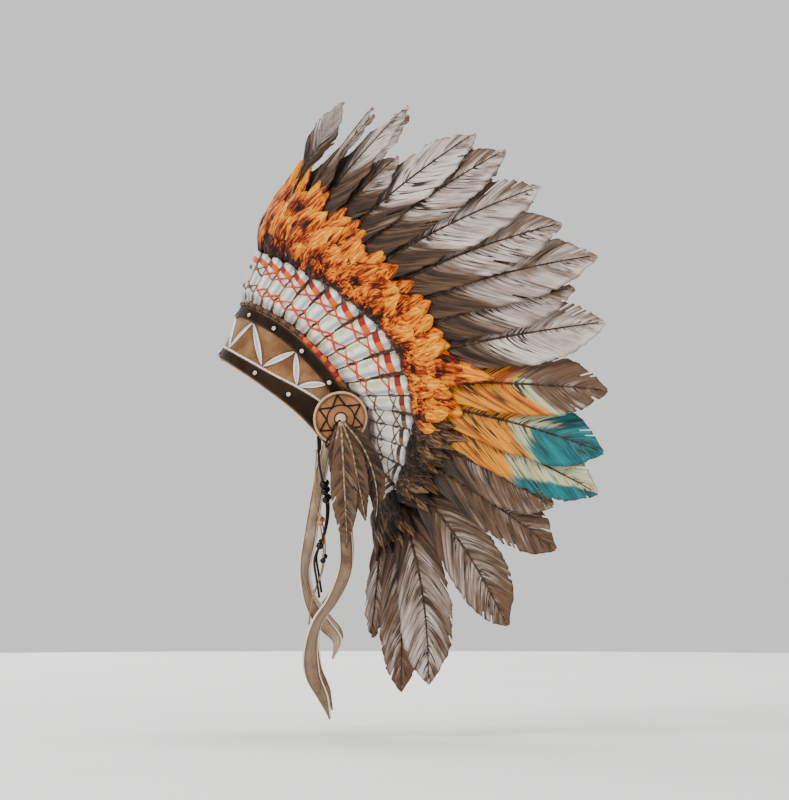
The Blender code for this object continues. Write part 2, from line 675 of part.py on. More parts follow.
def bead_string(name, side, material):
    """A thong with round beads on it, one body turned along its line."""
    fine = drop_line(BEAD_STRING, 121, -0.2, ROSETTE_BACK + ROSETTE_THICKNESS / 2)
    length = line_length(fine)
    runs = list(np.linspace(0, 1, 12) * length)
    for bead in BEADS:
        runs = [run for run in runs if abs(run - bead * length) > 1.3 * BEAD_RADIUS]
        runs += [bead * length + BEAD_RADIUS * share for share in (-0.93, -0.6, 0, 0.6, 0.93)]
    runs = np.array(sorted(runs))
    line = along_line(fine, runs)
    away = np.min([np.abs(runs - bead * length) for bead in BEADS], axis=0)
    radius = np.maximum(np.sqrt(np.clip(BEAD_RADIUS ** 2 - away ** 2, 0, None)), THONG_RADIUS)
    forward = unit(np.gradient(line, axis=0))
    flat = unit(np.cross(forward, np.array([1.0, 0.0, 0.0])))
    lift = np.cross(flat, forward)
    turns = np.linspace(0, 2 * math.pi, 10, endpoint=False)
    rings = [line + (flat * math.cos(turn) + lift * math.sin(turn)) * radius[:, None]
             for turn in turns]
    return loft(name, mirrored(np.stack(rings, axis=1), side), material)


def build():
    """The whole headdress."""
    for item in list(bpy.data.objects):
        bpy.data.objects.remove(item)
    leather = finish_material("band_leather", (0.36, 0.22, 0.12), 0.65)
    dark = finish_material("dark_leather", (0.07, 0.04, 0.02), 0.6)
    pale = finish_material("pale_leather", (0.45, 0.31, 0.19), 0.7)
    felt = finish_material("cap_felt", (0.23, 0.16, 0.11), 0.9)
    cloth = finish_material("wrap_cloth", (0.75, 0.74, 0.68), 0.8)
    feather = finish_material("feather", (0.42, 0.36, 0.32), 0.7)
    orange = finish_material("plume", (0.80, 0.26, 0.03), 0.85)
    quill = finish_material("quillwork", (0.62, 0.64, 0.68), 0.5)
    roll = finish_material("beaded_roll", (0.62, 0.12, 0.02), 0.4)
    bead = finish_material("black_bead", (0.02, 0.02, 0.02), 0.2)
    cap(felt)
    brow_band(leather, dark, quill, roll)
    wrap_collar(cloth)
    crown_feathers(feather)
    plume_ring(orange)
    rosettes(leather)
    side_drops(feather, leather, pale, bead)


build()
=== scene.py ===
"""Looks of the feathered headdress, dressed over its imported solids.

The wearer looks along -Y, +Z is up and +X is the wearer's left. The origin is inside the crown of
the cap. Ring coordinates (angle, up, out) belong to the cap: the angle is 0 at the brow and 180
degrees at the nape. Fan coordinates (place, run, lift) belong to the feathers: place counts
feathers from brow to nape on one side, run is the distance along a feather from its root, and
lift is the distance outwards from the fan. Every length is in metres.
"""
import math

import bpy
import numpy as np
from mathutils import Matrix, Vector


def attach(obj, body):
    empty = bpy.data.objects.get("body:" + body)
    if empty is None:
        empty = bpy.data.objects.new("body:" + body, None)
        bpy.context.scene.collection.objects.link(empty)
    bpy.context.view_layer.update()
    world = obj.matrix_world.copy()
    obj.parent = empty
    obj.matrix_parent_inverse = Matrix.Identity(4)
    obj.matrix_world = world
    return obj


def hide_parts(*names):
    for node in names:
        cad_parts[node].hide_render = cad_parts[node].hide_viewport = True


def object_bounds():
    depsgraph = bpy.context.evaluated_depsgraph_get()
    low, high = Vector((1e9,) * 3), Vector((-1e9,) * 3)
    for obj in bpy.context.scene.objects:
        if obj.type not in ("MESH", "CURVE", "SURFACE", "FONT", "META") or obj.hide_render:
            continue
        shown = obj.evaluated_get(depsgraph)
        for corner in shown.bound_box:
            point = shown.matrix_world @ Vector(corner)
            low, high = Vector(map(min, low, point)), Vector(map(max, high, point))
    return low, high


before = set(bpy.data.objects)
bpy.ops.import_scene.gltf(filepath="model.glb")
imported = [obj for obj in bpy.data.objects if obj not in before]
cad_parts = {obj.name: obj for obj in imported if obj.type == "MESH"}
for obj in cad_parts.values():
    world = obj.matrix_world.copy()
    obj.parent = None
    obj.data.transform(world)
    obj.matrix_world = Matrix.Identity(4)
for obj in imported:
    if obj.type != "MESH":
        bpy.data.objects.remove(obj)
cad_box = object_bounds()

MM = 0.001

# Sizes of the solids that the looks are fitted to, and of the thin parts that are added to them
HEAD_HALF_LENGTH = 96 * MM
HEAD_HALF_WIDTH = 80 * MM
CROWN_UP = 112 * MM
SHOULDER_UP = 37 * MM
CAP_WALL = 2.5 * MM
BROW_FLARE = 16 * MM
SIDE_FLARE = 4 * MM
WORN_TILT = math.radians(37)
RIM_INSET = 1.5 * MM
BAND_HEIGHT = 56 * MM
BAND_SEAT = 3.0 * MM
BAND_FACE = 6.0 * MM
BAND_END = 111
ROLL_RADIUS = 2.6 * MM
ROSETTE_RADIUS = 27.5 * MM
ROSETTE_BACK = 4 * MM
ROSETTE_THICKNESS = 3 * MM
ROSETTE_FACE = ROSETTE_BACK + ROSETTE_THICKNESS
ROSETTE_ANGLE = math.radians(107)
ROSETTE_UP = -0.5 * MM
ROSETTE_SEAT = 8.1 * MM
FEATHERS_A_SIDE = 20
FAN_RADIUS = 300 * MM
FAN_HALF_WIDTH = 255 * MM
FAN_BACK = 11 * MM
FAN_RISE = 1 * MM
ROOT_OUT = 5.8 * MM
ROOT_BEND = 0.45
VANE_HALF_WIDTH = 31 * MM
VANE_CAMBER = 3 * MM
VANE_GAP = 2 * MM
VANE_THICKNESS = 0.5 * MM
SPLIT_LEAN = 0.03
SHAFT_START = -8 * MM
SHAFT_END = 0.97
SHAFT_LIFT = 0.35 * MM
SHAFT_RADIUS = 1.75 * MM
SHAFT_TAPER = 1.3 * MM
VANE_ROLL = math.radians(15)
BROW_TURN = math.radians(38)
BROW_TURN_PLACES = 3
TURN_START = 0.50
TURN_END = 0.76
WRAP_LENGTH = 62 * MM
WRAP_FLAT = 3 * MM
WRAP_OPENING = 2 * MM
PLUME_LENGTH = 95 * MM
PLUME_THICKNESS = 0.35 * MM
DROP_LAYER = 5 * MM
DROP_FEATHER_HALF_WIDTH = 14 * MM
DROP_THICKNESS = 0.4 * MM
DROP_SHAFT_LIFT = 1.9 * MM
DROP_SHAFT_RADIUS = 1.2 * MM
DROP_SHAFT_TAPER = 0.85 * MM
RIBBON_HALF_WIDTH = 6.5 * MM
RIBBON_THICKNESS = 1.6 * MM
THONG_RADIUS = 1.3 * MM
BEAD_RADIUS = 3.6 * MM

# Lower and upper edge of the band and the line of the wraps' roots: degrees round the ring and
# shares of the band's height
BAND_LOW = ((0, -0.49), (30, -0.45), (60, -0.41), (90, -0.43), (115, -0.58), (180, -0.68))
BAND_HIGH = ((0, 0.50), (32, 0.64), (56, 0.70), (71, 0.66), (86, 0.57), (96, 0.46), (180, 0.30))
ROOT_LINE = ((0, 0.62), (32, 0.76), (56, 0.83), (71, 0.79), (86, 0.71), (96, 0.62), (112, 0.50),
             (121, 0.40), (129, 0.18), (137, -0.02), (148, -0.20), (162, -0.32), (180, -0.38))

# Each feather from brow to nape: direction of its tip in side view (degrees), its length and spread
# as shares of the fan, direction at its root (degrees), wrap length and width as shares
TIP_TURN, TIP_REACH, SPREAD, ROOT_TURN, WRAP_SHARE, WIDTH_SHARE = range(6)
FEATHERS = (
    (87.0, 1.000, 0.140, 71, 0.84, 0.72), (80.4, 0.980, 0.285, 66, 0.82, 0.94),
    (74.4, 1.010, 0.400, 62, 0.83, 1.00), (67.0, 0.800, 0.520, 58, 0.84, 0.90),
    (60.7, 1.005, 0.620, 54, 0.86, 1.00), (54.0, 1.010, 0.710, 50, 0.90, 1.04),
    (44.0, 0.985, 0.810, 45, 0.97, 1.00), (35.3, 0.955, 0.880, 39, 1.04, 1.00),
    (27.6, 1.000, 0.930, 33, 1.12, 1.00), (22.0, 0.870, 0.957, 26, 1.15, 0.92),
    (14.6, 0.935, 0.980, 17, 1.13, 1.00), (0.8, 0.910, 1.000, 6, 1.09, 1.00),
    (-12.0, 0.910, 0.985, -1, 0.97, 1.00), (-20.0, 0.935, 0.945, -6, 0.84, 0.96),
    (-27.0, 0.800, 0.890, -12, 0.76, 0.92), (-34.0, 0.895, 0.820, -20, 0.69, 0.92),
    (-52.0, 0.962, 0.590, -36, 0.58, 1.00), (-70.0, 1.020, 0.340, -60, 0.50, 0.96),
    (-75.5, 1.020, 0.260, -76, 0.46, 0.82), (-82.0, 0.820, 0.122, -92, 0.44, 0.68),
)

# Half width of a vane from the wrap to the tip, as shares of its length and of the half width
VANE_OUTLINE = ((0.0, 0.07), (0.03, 0.09), (0.12, 0.44), (0.30, 0.78), (0.54, 1.0), (0.76, 0.96),
                (0.89, 0.66), (0.965, 0.28), (1.0, 0.04))

# How pale, brown and dark each feather is
FEATHER_TONES = ((0.95, 0.15, 0.05), (0.45, 0.45, 0.20), (0.85, 0.40, 0.15), (0.40, 0.55, 0.35),
                 (0.85, 0.30, 0.15), (0.70, 0.55, 0.20), (0.70, 0.45, 0.15), (0.60, 0.55, 0.20),
                 (0.65, 0.55, 0.20), (0.50, 0.50, 0.25), (0.70, 0.35, 0.20), (0.40, 0.80, 0.15),
                 (0.50, 0.40, 0.20), (0.55, 0.40, 0.20), (0.30, 0.80, 0.55), (0.30, 0.85, 0.60),
                 (0.60, 0.70, 0.45), (0.60, 0.60, 0.45), (0.45, 0.75, 0.50), (0.50, 0.70, 0.55))

# Plumes: their reach past the wraps over the places, as shares of the longest. Then each layer's
# step between plumes, length and slimness as shares, and lifts at root, tip and arch (mm). Last,
# the large ones over the brow as place and length (mm).
PLUME_REACH = ((-0.5, 0.98), (1, 0.94), (3, 0.84), (6, 0.70), (7, 0.65), (8, 0.62), (9.3, 0.65),
               (10.4, 0.66), (11.4, 0.60), (12.5, 0.46), (14, 0.34), (19.5, 0.36))
PLUME_LAYERS = ((0.42, 1.00, 0.120, (3, 5, 6)), (0.40, 0.84, 0.120, (4, 8, 8)),
                (0.40, 0.64, 0.115, (5, 10, 8)), (0.40, 0.42, 0.125, (6, 11, 6)))
PLUMES_TURN_BROWN = 12.3
BROW_PLUMES = ((0.3, 97), (0.9, 94), (1.5, 90), (2.2, 84))

# Side drops: points in side view from the rosette's middle, back and down as shares of the fan's
# radius, with the width of each place as a share. The fourth feather hangs half hidden behind.
DROP_FEATHERS = (
    ((0.000, 0.012, 0.16), (0.006, 0.100, 0.75), (0.012, 0.220, 1.00), (0.018, 0.340, 0.78),
     (0.021, 0.434, 0.06)),
    ((0.003, 0.012, 0.16), (0.034, 0.090, 0.62), (0.052, 0.180, 0.85), (0.070, 0.270, 0.62),
     (0.083, 0.340, 0.06)),
    ((-0.003, 0.012, 0.16), (-0.016, 0.080, 0.42), (-0.014, 0.150, 0.56), (-0.008, 0.220, 0.40),
     (-0.004, 0.276, 0.06)),
    ((0.010, 0.012, 0.16), (0.068, 0.085, 0.70), (0.108, 0.180, 0.86), (0.122, 0.265, 0.60),
     (0.118, 0.335, 0.06)),
)
LONG_RIBBON = ((-0.008, 0.0915), (0.004, 0.230), (0.018, 0.395), (0.018, 0.500), (-0.027, 0.610),
               (-0.075, 0.680), (-0.098, 0.770), (-0.092, 0.860), (-0.058, 0.935), (-0.035, 1.005))
SHORT_RIBBON = ((-0.045, 0.0838), (-0.075, 0.230), (-0.102, 0.395), (-0.120, 0.530),
                (-0.100, 0.620), (-0.055, 0.690), (-0.012, 0.745), (-0.027, 0.805))
BEAD_STRING = ((-0.075, 0.060), (-0.069, 0.160), (-0.052, 0.246), (-0.045, 0.306),
               (-0.062, 0.410), (-0.086, 0.470), (-0.078, 0.545), (-0.070, 0.600))
TAN_STRING = ((-0.078, 0.105), (-0.082, 0.171), (-0.081, 0.288), (-0.072, 0.330), (-0.056, 0.440),
              (-0.064, 0.520), (-0.089, 0.590), (-0.105, 0.691))

# Beads on both strings: share of the string, radius and finish number
BEADS = ((0.30, 1.15 * BEAD_RADIUS, 1), (0.347, 1.05 * BEAD_RADIUS, 1),
         (0.394, 1.05 * BEAD_RADIUS, 1), (0.68, 1.05 * BEAD_RADIUS, 1))
TAN_BEADS = ((0.42, 3.4 * MM, 3), (0.63, 3.0 * MM, 1))

# Length, line, layer, width as a share and two colours of each leather ribbon
RIBBONS = (("long", LONG_RIBBON, 0.1, 1.0, ("#4f3826", "#7c6048")),
           ("short", SHORT_RIBBON, -2.0, 0.9, ("#76604a", "#a58e76")))

# Details that the solids leave to the looks: widths in mm over degrees, profiles as radius and
# height, pinches of the wraps as place, depth and width
UPPER_STUDS = (0, 26, 48, 69, 91)
LOWER_STUDS = (0, 53, 77)
STUD_RADIUS = 2.4 * MM
STUD_RING = ((1.50, 0.0), (1.50, 0.3), (1.38, 0.42), (1.12, 0.30))
STUD_UP, STUD_DOWN = 0.58, 0.46
ZIGZAG = ((0, 0.80), (18, 0.22), (31, 0.80), (54, 0.25), (66, 0.80), (78, 0.36), (91, 0.80))
LENS_HALF_WIDTH = 2.9 * MM
LENS_SEAT = BAND_FACE + 0.2 * MM
LENS_SWELL = 1.0 * MM
LENS_THICKNESS = 0.9 * MM
LENS_MARGIN = 0.04
PANEL_SWELL = 0.9 * MM
PANEL_SINK = 0.5 * MM
# Strength of the painted shade on the band beside the quilled strips
PANEL_SHADE = 0.55
PANEL_ROUNDING = 1.2 * MM
WEAR_WIDTH = 1.2 * MM
STRIP_SEAT = BAND_FACE + 0.3 * MM
STRIP_FACE = BAND_FACE + 1.8 * MM
STRIP_ROUNDING = 0.9 * MM
STUD_SEAT = BAND_FACE + 1.7 * MM
EDGE_INSET = 1 * MM
UPPER_EDGE = ((0, 12.0), (111, 12.0))
LOWER_EDGE = ((0, 10.0), (40, 11.5), (60, 14.0), (78, 19.0), (95, 24.0), (111, 27.0))
PIPING_RADIUS = 1.15 * MM
PIPING_RISE = 1.9 * MM
PIPING_SEAT = BAND_FACE + 1.2 * MM
ROLL_RISE = 0.3 * MM + ROLL_RADIUS
ROLL_OUT = CAP_WALL + 1.4 * MM + ROLL_RADIUS
BEAD_STEP = 3.4
LACE_ROWS = (0.27, 0.66)
LACE_SWING = 5.2 * MM
LACE_SINK = 0.2 * MM
WRAP_PINCHES = (*((row, 0.17, 0.045) for row in LACE_ROWS), (0.775, 0.10, 0.012),
                (0.905, 0.08, 0.010))
WRAP_SHOULDER = 0.93
SPIKES = (4.5, 5.5, 7.5, 9.5, 10.5, 12.5)
SEAM_HEIGHT = 0.7 * MM
STAR_POINTS = (98, 34, -21, -85, -150, 155)
STAR_FOOT = 31
STAR_RADIUS = 24.0 * MM
STAR_RING = 13.7 * MM
HUB_RING = 6.2 * MM
ROSETTE_PROFILE = (
    (0.5, 0.0), (15.0, 0.0), (15.0, 3.9), (26.6, 4.0), (27.4, 4.6), (27.6, 5.6), (27.3, 6.6),
    (26.6, 7.3), (25.6, 7.4), (24.9, 7.0), (24.4, 6.7), (22.0, 6.75), (18.0, 6.8), (14.6, 6.9),
    (13.9, 7.3), (12.9, 7.5), (10.0, 7.4), (7.2, 7.3), (6.6, 7.6), (6.1, 8.0), (4.0, 8.5),
    (2.0, 8.7), (0.5, 8.75))
PLUME_SEED, LACING_SEED, DROP_SEED = 7, 5, 300
FEATHER_SEEDS = {"left": 100, "right": 150}
SHARP_ANGLE = math.radians(48)

# Stage: each light's name, place, size and power; the picture's middle, height and distance
LIGHTS = (("key", (2.6, -2.2, 2.4), 1.6, 125.0), ("fill", (2.8, 2.6, 0.4), 2.2, 35.0),
          ("top", (-0.6, 0.4, 3.0), 1.8, 60.0), ("rear", (-2.8, -1.2, 1.4), 1.8, 70.0))
FLOOR_RADIUS = 2.2
VIEW_MIDDLE = (0.0, 12.1 * MM, -91.4 * MM)
VIEW_HEIGHT = 0.800
VIEW_DISTANCE = 6.5
VIEW_PLANE = 100 * MM
SENSOR = 36.0


# Shapes: points with faces and with values kept at the points


class Shape:
    """Points, faces of four and of three corners, values at the points, and a finish number."""

    def __init__(self, points, quads=(), tris=(), values=None, finish=0):
        self.points = np.asarray(points, dtype=float).reshape(-1, 3)
        self.quads = np.asarray(quads, dtype=int).reshape(-1, 4)
        self.tris = np.asarray(tris, dtype=int).reshape(-1, 3)
        self.values = values or {}
        self.finish = [(finish, len(self.quads))], [(finish, len(self.tris))]


def joined(shapes):
    """Many shapes as one."""
    starts = np.cumsum([0] + [len(shape.points) for shape in shapes[:-1]])
    whole = Shape(np.concatenate([shape.points for shape in shapes]),
                  np.concatenate([shape.quads + start for shape, start in zip(shapes, starts)]),
                  np.concatenate([shape.tris + start for shape, start in zip(shapes, starts)]))
    for name in {name for shape in shapes for name in shape.values}:
        whole.values[name] = np.concatenate([
            shape.values.get(name, np.zeros_like(shape.points)) for shape in shapes])
    whole.finish = tuple([run for shape in shapes for run in shape.finish[kind]]
                         for kind in (0, 1))
    return whole


def mirror(shape):
    """The same shape on the other side of the YZ plane, its faces turned to stay outside."""
    other = Shape(shape.points * (-1, 1, 1), shape.quads[:, ::-1], shape.tris[:, ::-1],
                  shape.values)
    other.finish = shape.finish
    return other


def both_sides(shape):
    """A shape of the wearer's left together with its mirror image."""
    return joined([shape, mirror(shape)])


def on_side(side, shape):
    """A shape of the wearer's left, or its mirror image for the right side."""
    return shape if side == "left" else mirror(shape)


def grid_faces(rows, columns, wrapped=False):
    """Faces of a grid of points, wrapped round where each row of points is a ring."""
    across = np.arange(columns if wrapped else columns - 1)
    here = (np.arange(rows - 1)[:, None] * columns + across).ravel()
    beside = (np.arange(rows - 1)[:, None] * columns + (across + 1) % columns).ravel()
    return np.stack([here, beside, beside + columns, here + columns], axis=1)


def tube(rings, values=None, finish=0, ends=None):
    """A closed tube through rings of points, each end closed by a fan to its end point."""
    count, around = rings.shape[:2]
    if ends is None:
        ends = [rings[0].mean(0), rings[-1].mean(0)]
    corner = np.arange(around)
    beside = (corner + 1) % around
    first, last = count * around, (count - 1) * around
    tris = np.concatenate([
        np.stack([np.full(around, first), beside, corner], axis=1),
        np.stack([np.full(around, first + 1), last + corner, last + beside], axis=1)])
    kept = {}
    for name, value in (values or {}).items():
        value = np.broadcast_to(value, (count, around, 3))
        kept[name] = np.concatenate([value.reshape(-1, 3), value[0, :1], value[-1, :1]])
    return Shape(np.concatenate([rings.reshape(-1, 3), ends]),
                 grid_faces(count, around, wrapped=True), tris, kept, finish)


def shell(points, behind, values, faces=None):
    """A sheet with thickness: each face again behind it, and a wall along each open edge."""
    if faces is None:
        faces = grid_faces(*points.shape[:2])
    behind = np.broadcast_to(behind, points.shape).reshape(-1, 3)
    points = points.reshape(-1, 3)
    count = len(points)
    starts = faces.ravel()
    ends = np.roll(faces, -1, axis=1).ravel()
    keys = np.minimum(starts, ends) * count + np.maximum(starts, ends)
    _, first, times = np.unique(keys, return_index=True, return_counts=True)
    open_edges = first[times == 1]
    low, high = starts[open_edges], ends[open_edges]
    walls = np.stack([high, low, low + count, high + count], axis=1)
    kept = {name: np.concatenate([value.reshape(-1, 3)] * 2) for name, value in values.items()}
    return Shape(np.concatenate([points, points + behind]),
                 np.concatenate([faces, faces[:, ::-1] + count, walls]), (), kept)


def stacked(*parts):
    """Numbers of any matching shapes side by side as vectors."""
    return np.stack(np.broadcast_arrays(*parts), axis=-1)


def unit(vectors):
    """The same vectors, each one long."""
    return vectors / np.maximum(np.linalg.norm(vectors, axis=-1, keepdims=True), 1e-12)


def moved(point, first, by, second, and_by):
    """Points moved along two directions."""
    return point + first * np.asarray(by)[..., None] + second * np.asarray(and_by)[..., None]


def circle(count):
    """Angles of the corners of a ring."""
    return np.linspace(0, 2 * math.pi, count, endpoint=False)


def distances(line):
    """Distance walked along a line at each of its points."""
    return np.concatenate([[0], np.cumsum(np.linalg.norm(np.diff(line, axis=0), axis=1))])


def at_runs(values, walked, runs):
    """Rows of values at any distances along the line that they are kept on."""
    return np.stack([np.interp(runs, walked, column) for column in values.T], axis=-1)


def rings_round(path, beside, above, radius, sides, flat=1.0):
    """Rings of points round a path, spread by two directions and squeezed along the second."""
    turns = circle(sides)[None, :, None]
    radius = np.broadcast_to(radius, len(path))[:, None, None]
    beside, above = (np.broadcast_to(way, path.shape)[:, None] for way in (beside, above))
    return path[:, None] + radius * (np.cos(turns) * beside + flat * np.sin(turns) * above)


def rope(path, outward, radius, sides=6, flat=1.0, values=None, finish=0):
    """A thread or rod along a path: rings of the given radius, squeezed flat towards its bed."""
    forward = unit(np.gradient(path, axis=0))
    beside = unit(np.cross(forward, np.broadcast_to(outward, path.shape)))
    rings = rings_round(path, beside, np.cross(beside, forward), radius, sides, flat)
    return tube(rings[:, ::-1], values, finish)


def turned(seat, axis, side, profile, sides, values=None, finish=0):
    """A turned shape: a ring round the axis for each radius and height of its profile."""
    radius, height = np.asarray(profile, dtype=float).T
    rings = rings_round(seat + axis * height[:, None], side, np.cross(axis, side), radius, sides)
    return tube(rings, values, finish)


def ball(middle, axis, radius, finish):
    """A bead: rings round its axis whose radius follows half a turn of a sine."""
    axis = unit(axis)
    side = unit(np.cross(axis, (0.31, 0.52, 0.79)))
    lean = np.linspace(0.12, math.pi - 0.12, 9)
    profile = radius * np.stack([np.sin(lean), -np.cos(lean)], axis=1)
    return turned(middle, axis, side, profile, 14, finish=finish)


def placed(name, data, place=(0, 0, 0), turn=(0, 0, 0)):
    """Puts a mesh, a light or a camera into the scene."""
    made = bpy.data.objects.new(name, data)
    made.location, made.rotation_euler = place, turn
    bpy.context.scene.collection.objects.link(made)
    return made


def add_piece(name, shape, finishes, replaced=()):
    """Makes the shape an object that rides on the headdress and stands for the named solids."""
    mesh = bpy.data.meshes.new(name)
    mesh.from_pydata(shape.points.tolist(), [], shape.quads.tolist() + shape.tris.tolist())
    runs = shape.finish[0] + shape.finish[1]
    numbers = np.concatenate([np.full(count, number) for number, count in runs])
    mesh.polygons.foreach_set("material_index", numbers.astype(np.int32))
    mesh.polygons.foreach_set("use_smooth", np.ones(len(mesh.polygons), dtype=bool))
    for title, value in shape.values.items():
        kept = mesh.attributes.new(title, "FLOAT_VECTOR", "POINT")
        kept.data.foreach_set("vector", value.astype(np.float32).ravel())
    mesh.set_sharp_from_angle(angle=SHARP_ANGLE)
    for finish in finishes:
        mesh.materials.append(finish)
    piece = placed(name, mesh)
    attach(piece, "root")
    if replaced:
        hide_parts(*replaced)
    return piece


# Coordinates of the ring and of the fan


def smooth_table(table, places):
    """Values of a table at the given places, on a smooth curve through its rows."""
    rows = np.array(table, dtype=float)
    places = np.clip(np.asarray(places, dtype=float), rows[0, 0], rows[-1, 0])
    slopes = np.gradient(rows[:, 1], rows[:, 0])
    left = np.clip(np.searchsorted(rows[:, 0], places, side="right") - 1, 0, len(rows) - 2)
    span = rows[left + 1, 0] - rows[left, 0]
    share = (places - rows[left, 0]) / span
    square, cube = share ** 2, share ** 3
    return ((2 * cube - 3 * square + 1) * rows[left, 1] + (cube - 2 * square + share) * span
            * slopes[left] + (3 * square - 2 * cube) * rows[left + 1, 1]
            + (cube - square) * span * slopes[left + 1])


def smooth_step(value, low, high):
    """0 below low, 1 above high, and a smooth rise between."""
    share = np.clip((value - low) / (high - low), 0, 1)
    return share * share * (3 - 2 * share)


def ring_point(across, along, up):
    """World place of a point given in the cap's own coordinates."""
    across, along, up = np.broadcast_arrays(across, along, np.asarray(up, dtype=float))
    above = up - CROWN_UP
    back = along * math.cos(WORN_TILT) + above * math.sin(WORN_TILT)
    rise = above * math.cos(WORN_TILT) - along * math.sin(WORN_TILT)
    return np.stack([across, back, rise], axis=-1)


def ring_height(table, angle):
    """Height from a table of the band at an angle round the ring."""
    return BAND_HEIGHT * smooth_table(table, np.degrees(np.abs(angle)))


def band_edges(angle):
    """Heights of the band's lower and upper edge at an angle round the ring."""
    return ring_height(BAND_LOW, angle), ring_height(BAND_HIGH, angle)


def cap_point(angle, up, out):
    """A point out from the inside of the cap: straight flared walls under a rounded dome."""
    angle, up, out = np.broadcast_arrays(np.asarray(angle, dtype=float),
                                         np.asarray(up, dtype=float), out)
    rim = ring_height(BAND_LOW, 0)
    rise = np.clip((up - SHOULDER_UP) / (CROWN_UP - SHOULDER_UP), 0, 1)
    shrink = np.sqrt(1 - rise ** 2)
    lean = (np.minimum(up, SHOULDER_UP) - rim) / (SHOULDER_UP - rim)
    brow = SIDE_FLARE + (BROW_FLARE - SIDE_FLARE) * np.clip(np.cos(angle), 0, 1) ** 2
    across = ((HEAD_HALF_WIDTH + SIDE_FLARE * lean) * shrink + out) * np.sin(angle)
    along = -((HEAD_HALF_LENGTH + brow * lean) * shrink + out) * np.cos(angle)
    return ring_point(across, along, up)


def cap_outward(angle):
    """Direction straight out of the cap at an angle round the ring."""
    return unit(cap_point(angle, 0.0, 1.0) - cap_point(angle, 0.0, 0.0))


def fan_column(column, places):
    """One column of the feather table at any places, fractions included."""
    rows = np.array([row[column] for row in FEATHERS])
    given = (np.arange(len(rows)) + 0.5) / len(rows)
    wanted = (np.asarray(places) + 0.5) / FEATHERS_A_SIDE
    if column == SPREAD:
        given = np.concatenate([[0], given, [1]])
        rows = np.concatenate([[0], rows, [0]])
    return np.interp(wanted, given, rows)


def feather_roots(places):
    """Points where feathers are rooted, evenly spaced along the root line from brow to nape."""
    angles = np.linspace(0, math.pi, 181)
    walked = distances(cap_point(angles, ring_height(ROOT_LINE, angles), ROOT_OUT))
    angles = np.interp((places + 0.5) / FEATHERS_A_SIDE, walked / walked[-1], angles)
    return cap_point(angles, ring_height(ROOT_LINE, angles), ROOT_OUT)


def feather_lines(places, samples=81):
    """Curves that the feathers lie along, from root to rim: one control point, a square formula."""
    places = np.atleast_1d(np.asarray(places, dtype=float))
    roots = feather_roots(places)
    turn = np.radians(fan_column(TIP_TURN, places))
    middle = ring_point(0, 0, 0)
    tips = np.stack([FAN_HALF_WIDTH * fan_column(SPREAD, places),
                     middle[1] + FAN_BACK + FAN_RADIUS * np.cos(turn),
                     middle[2] + FAN_RISE + FAN_RADIUS * np.sin(turn)], axis=-1)
    chord = tips - roots
    length = np.linalg.norm(chord, axis=1)
    sideways = chord[:, 0] / length
    start = np.radians(fan_column(ROOT_TURN, places))
    level = np.sqrt(1 - sideways ** 2)
    leave = np.stack([sideways, level * np.cos(start), level * np.sin(start)], axis=-1)
    bend = roots + leave * (ROOT_BEND * length)[:, None]
    share = np.linspace(0, 1, samples)[None, :, None]
    return ((1 - share) ** 2 * roots[:, None] + 2 * share * (1 - share) * bend[:, None]
            + share ** 2 * tips[:, None])


def along_line(line, runs):
    """Points at the given distances along one curve, which goes on straight past its ends."""
    walked = distances(line)
    past = np.maximum(runs - walked[-1], 0) + np.minimum(runs, 0)
    return at_runs(line, walked, runs) + past[:, None] * unit(line[-1] - line[-2])


# The fan as tables over place and run, looked up by every piece that lies on it
FAN_PLACES = np.linspace(-0.75, 19.75, 411)
FAN_RUNS = np.linspace(-10, 410, 169) * MM
FAN_POINTS = np.stack([along_line(line, FAN_RUNS) for line in feather_lines(FAN_PLACES)])
FAN_FORWARD = unit(np.gradient(FAN_POINTS, axis=1))
FAN_BESIDE = np.gradient(FAN_POINTS, FAN_PLACES, axis=0)
FAN_BESIDE = FAN_BESIDE - np.sum(FAN_BESIDE * FAN_FORWARD, axis=-1, keepdims=True) * FAN_FORWARD
FAN_SPACING = np.linalg.norm(FAN_BESIDE, axis=-1)
FAN_BESIDE = unit(FAN_BESIDE)
FAN_OUTWARD = np.cross(FAN_BESIDE, FAN_FORWARD)


def fan_value(table, place, run):
    """Value of a table over the fan at any place and run, straight between its entries."""
    place, run = np.broadcast_arrays(np.asarray(place, dtype=float), np.asarray(run, dtype=float))
    row = np.clip((place - FAN_PLACES[0]) / (FAN_PLACES[1] - FAN_PLACES[0]), 0,
                  len(FAN_PLACES) - 1.001)
    column = np.clip((run - FAN_RUNS[0]) / (FAN_RUNS[1] - FAN_RUNS[0]), 0, len(FAN_RUNS) - 1.001)
    low, left = row.astype(int), column.astype(int)
    down, right = row - low, column - left
    if table.ndim == 3:
        down, right = down[..., None], right[..., None]
    return ((1 - down) * ((1 - right) * table[low, left] + right * table[low, left + 1])
            + down * ((1 - right) * table[low + 1, left] + right * table[low + 1, left + 1]))


def fan_frame(place, run):
    """A point of the fan, the direction towards the nape, and the direction outwards."""
    return [fan_value(table, place, run) for table in (FAN_POINTS, FAN_BESIDE, FAN_OUTWARD)]


def fan_point(place, run, lift, aside=0.0):
    """World place of a point of the fan, lifted outwards and moved aside towards the nape."""
    point, beside, outward = fan_frame(place, run)
    return moved(point, outward, lift, beside, aside)


def wrap_length(place):
    """Length of the wrapped quill at a place."""
    return WRAP_LENGTH * fan_column(WRAP_SHARE, place)


def feather_length(place):
    """Distance from the root to the tip of the feather at a place."""
    whole = distances(feather_lines(place)[0])[-1]
    return whole - (1 - fan_column(TIP_REACH, place)) * FAN_RADIUS


def plume_reach(place):
    """How far the orange plumes reach past the wraps at a place."""
    return PLUME_LENGTH * smooth_table(PLUME_REACH, place)


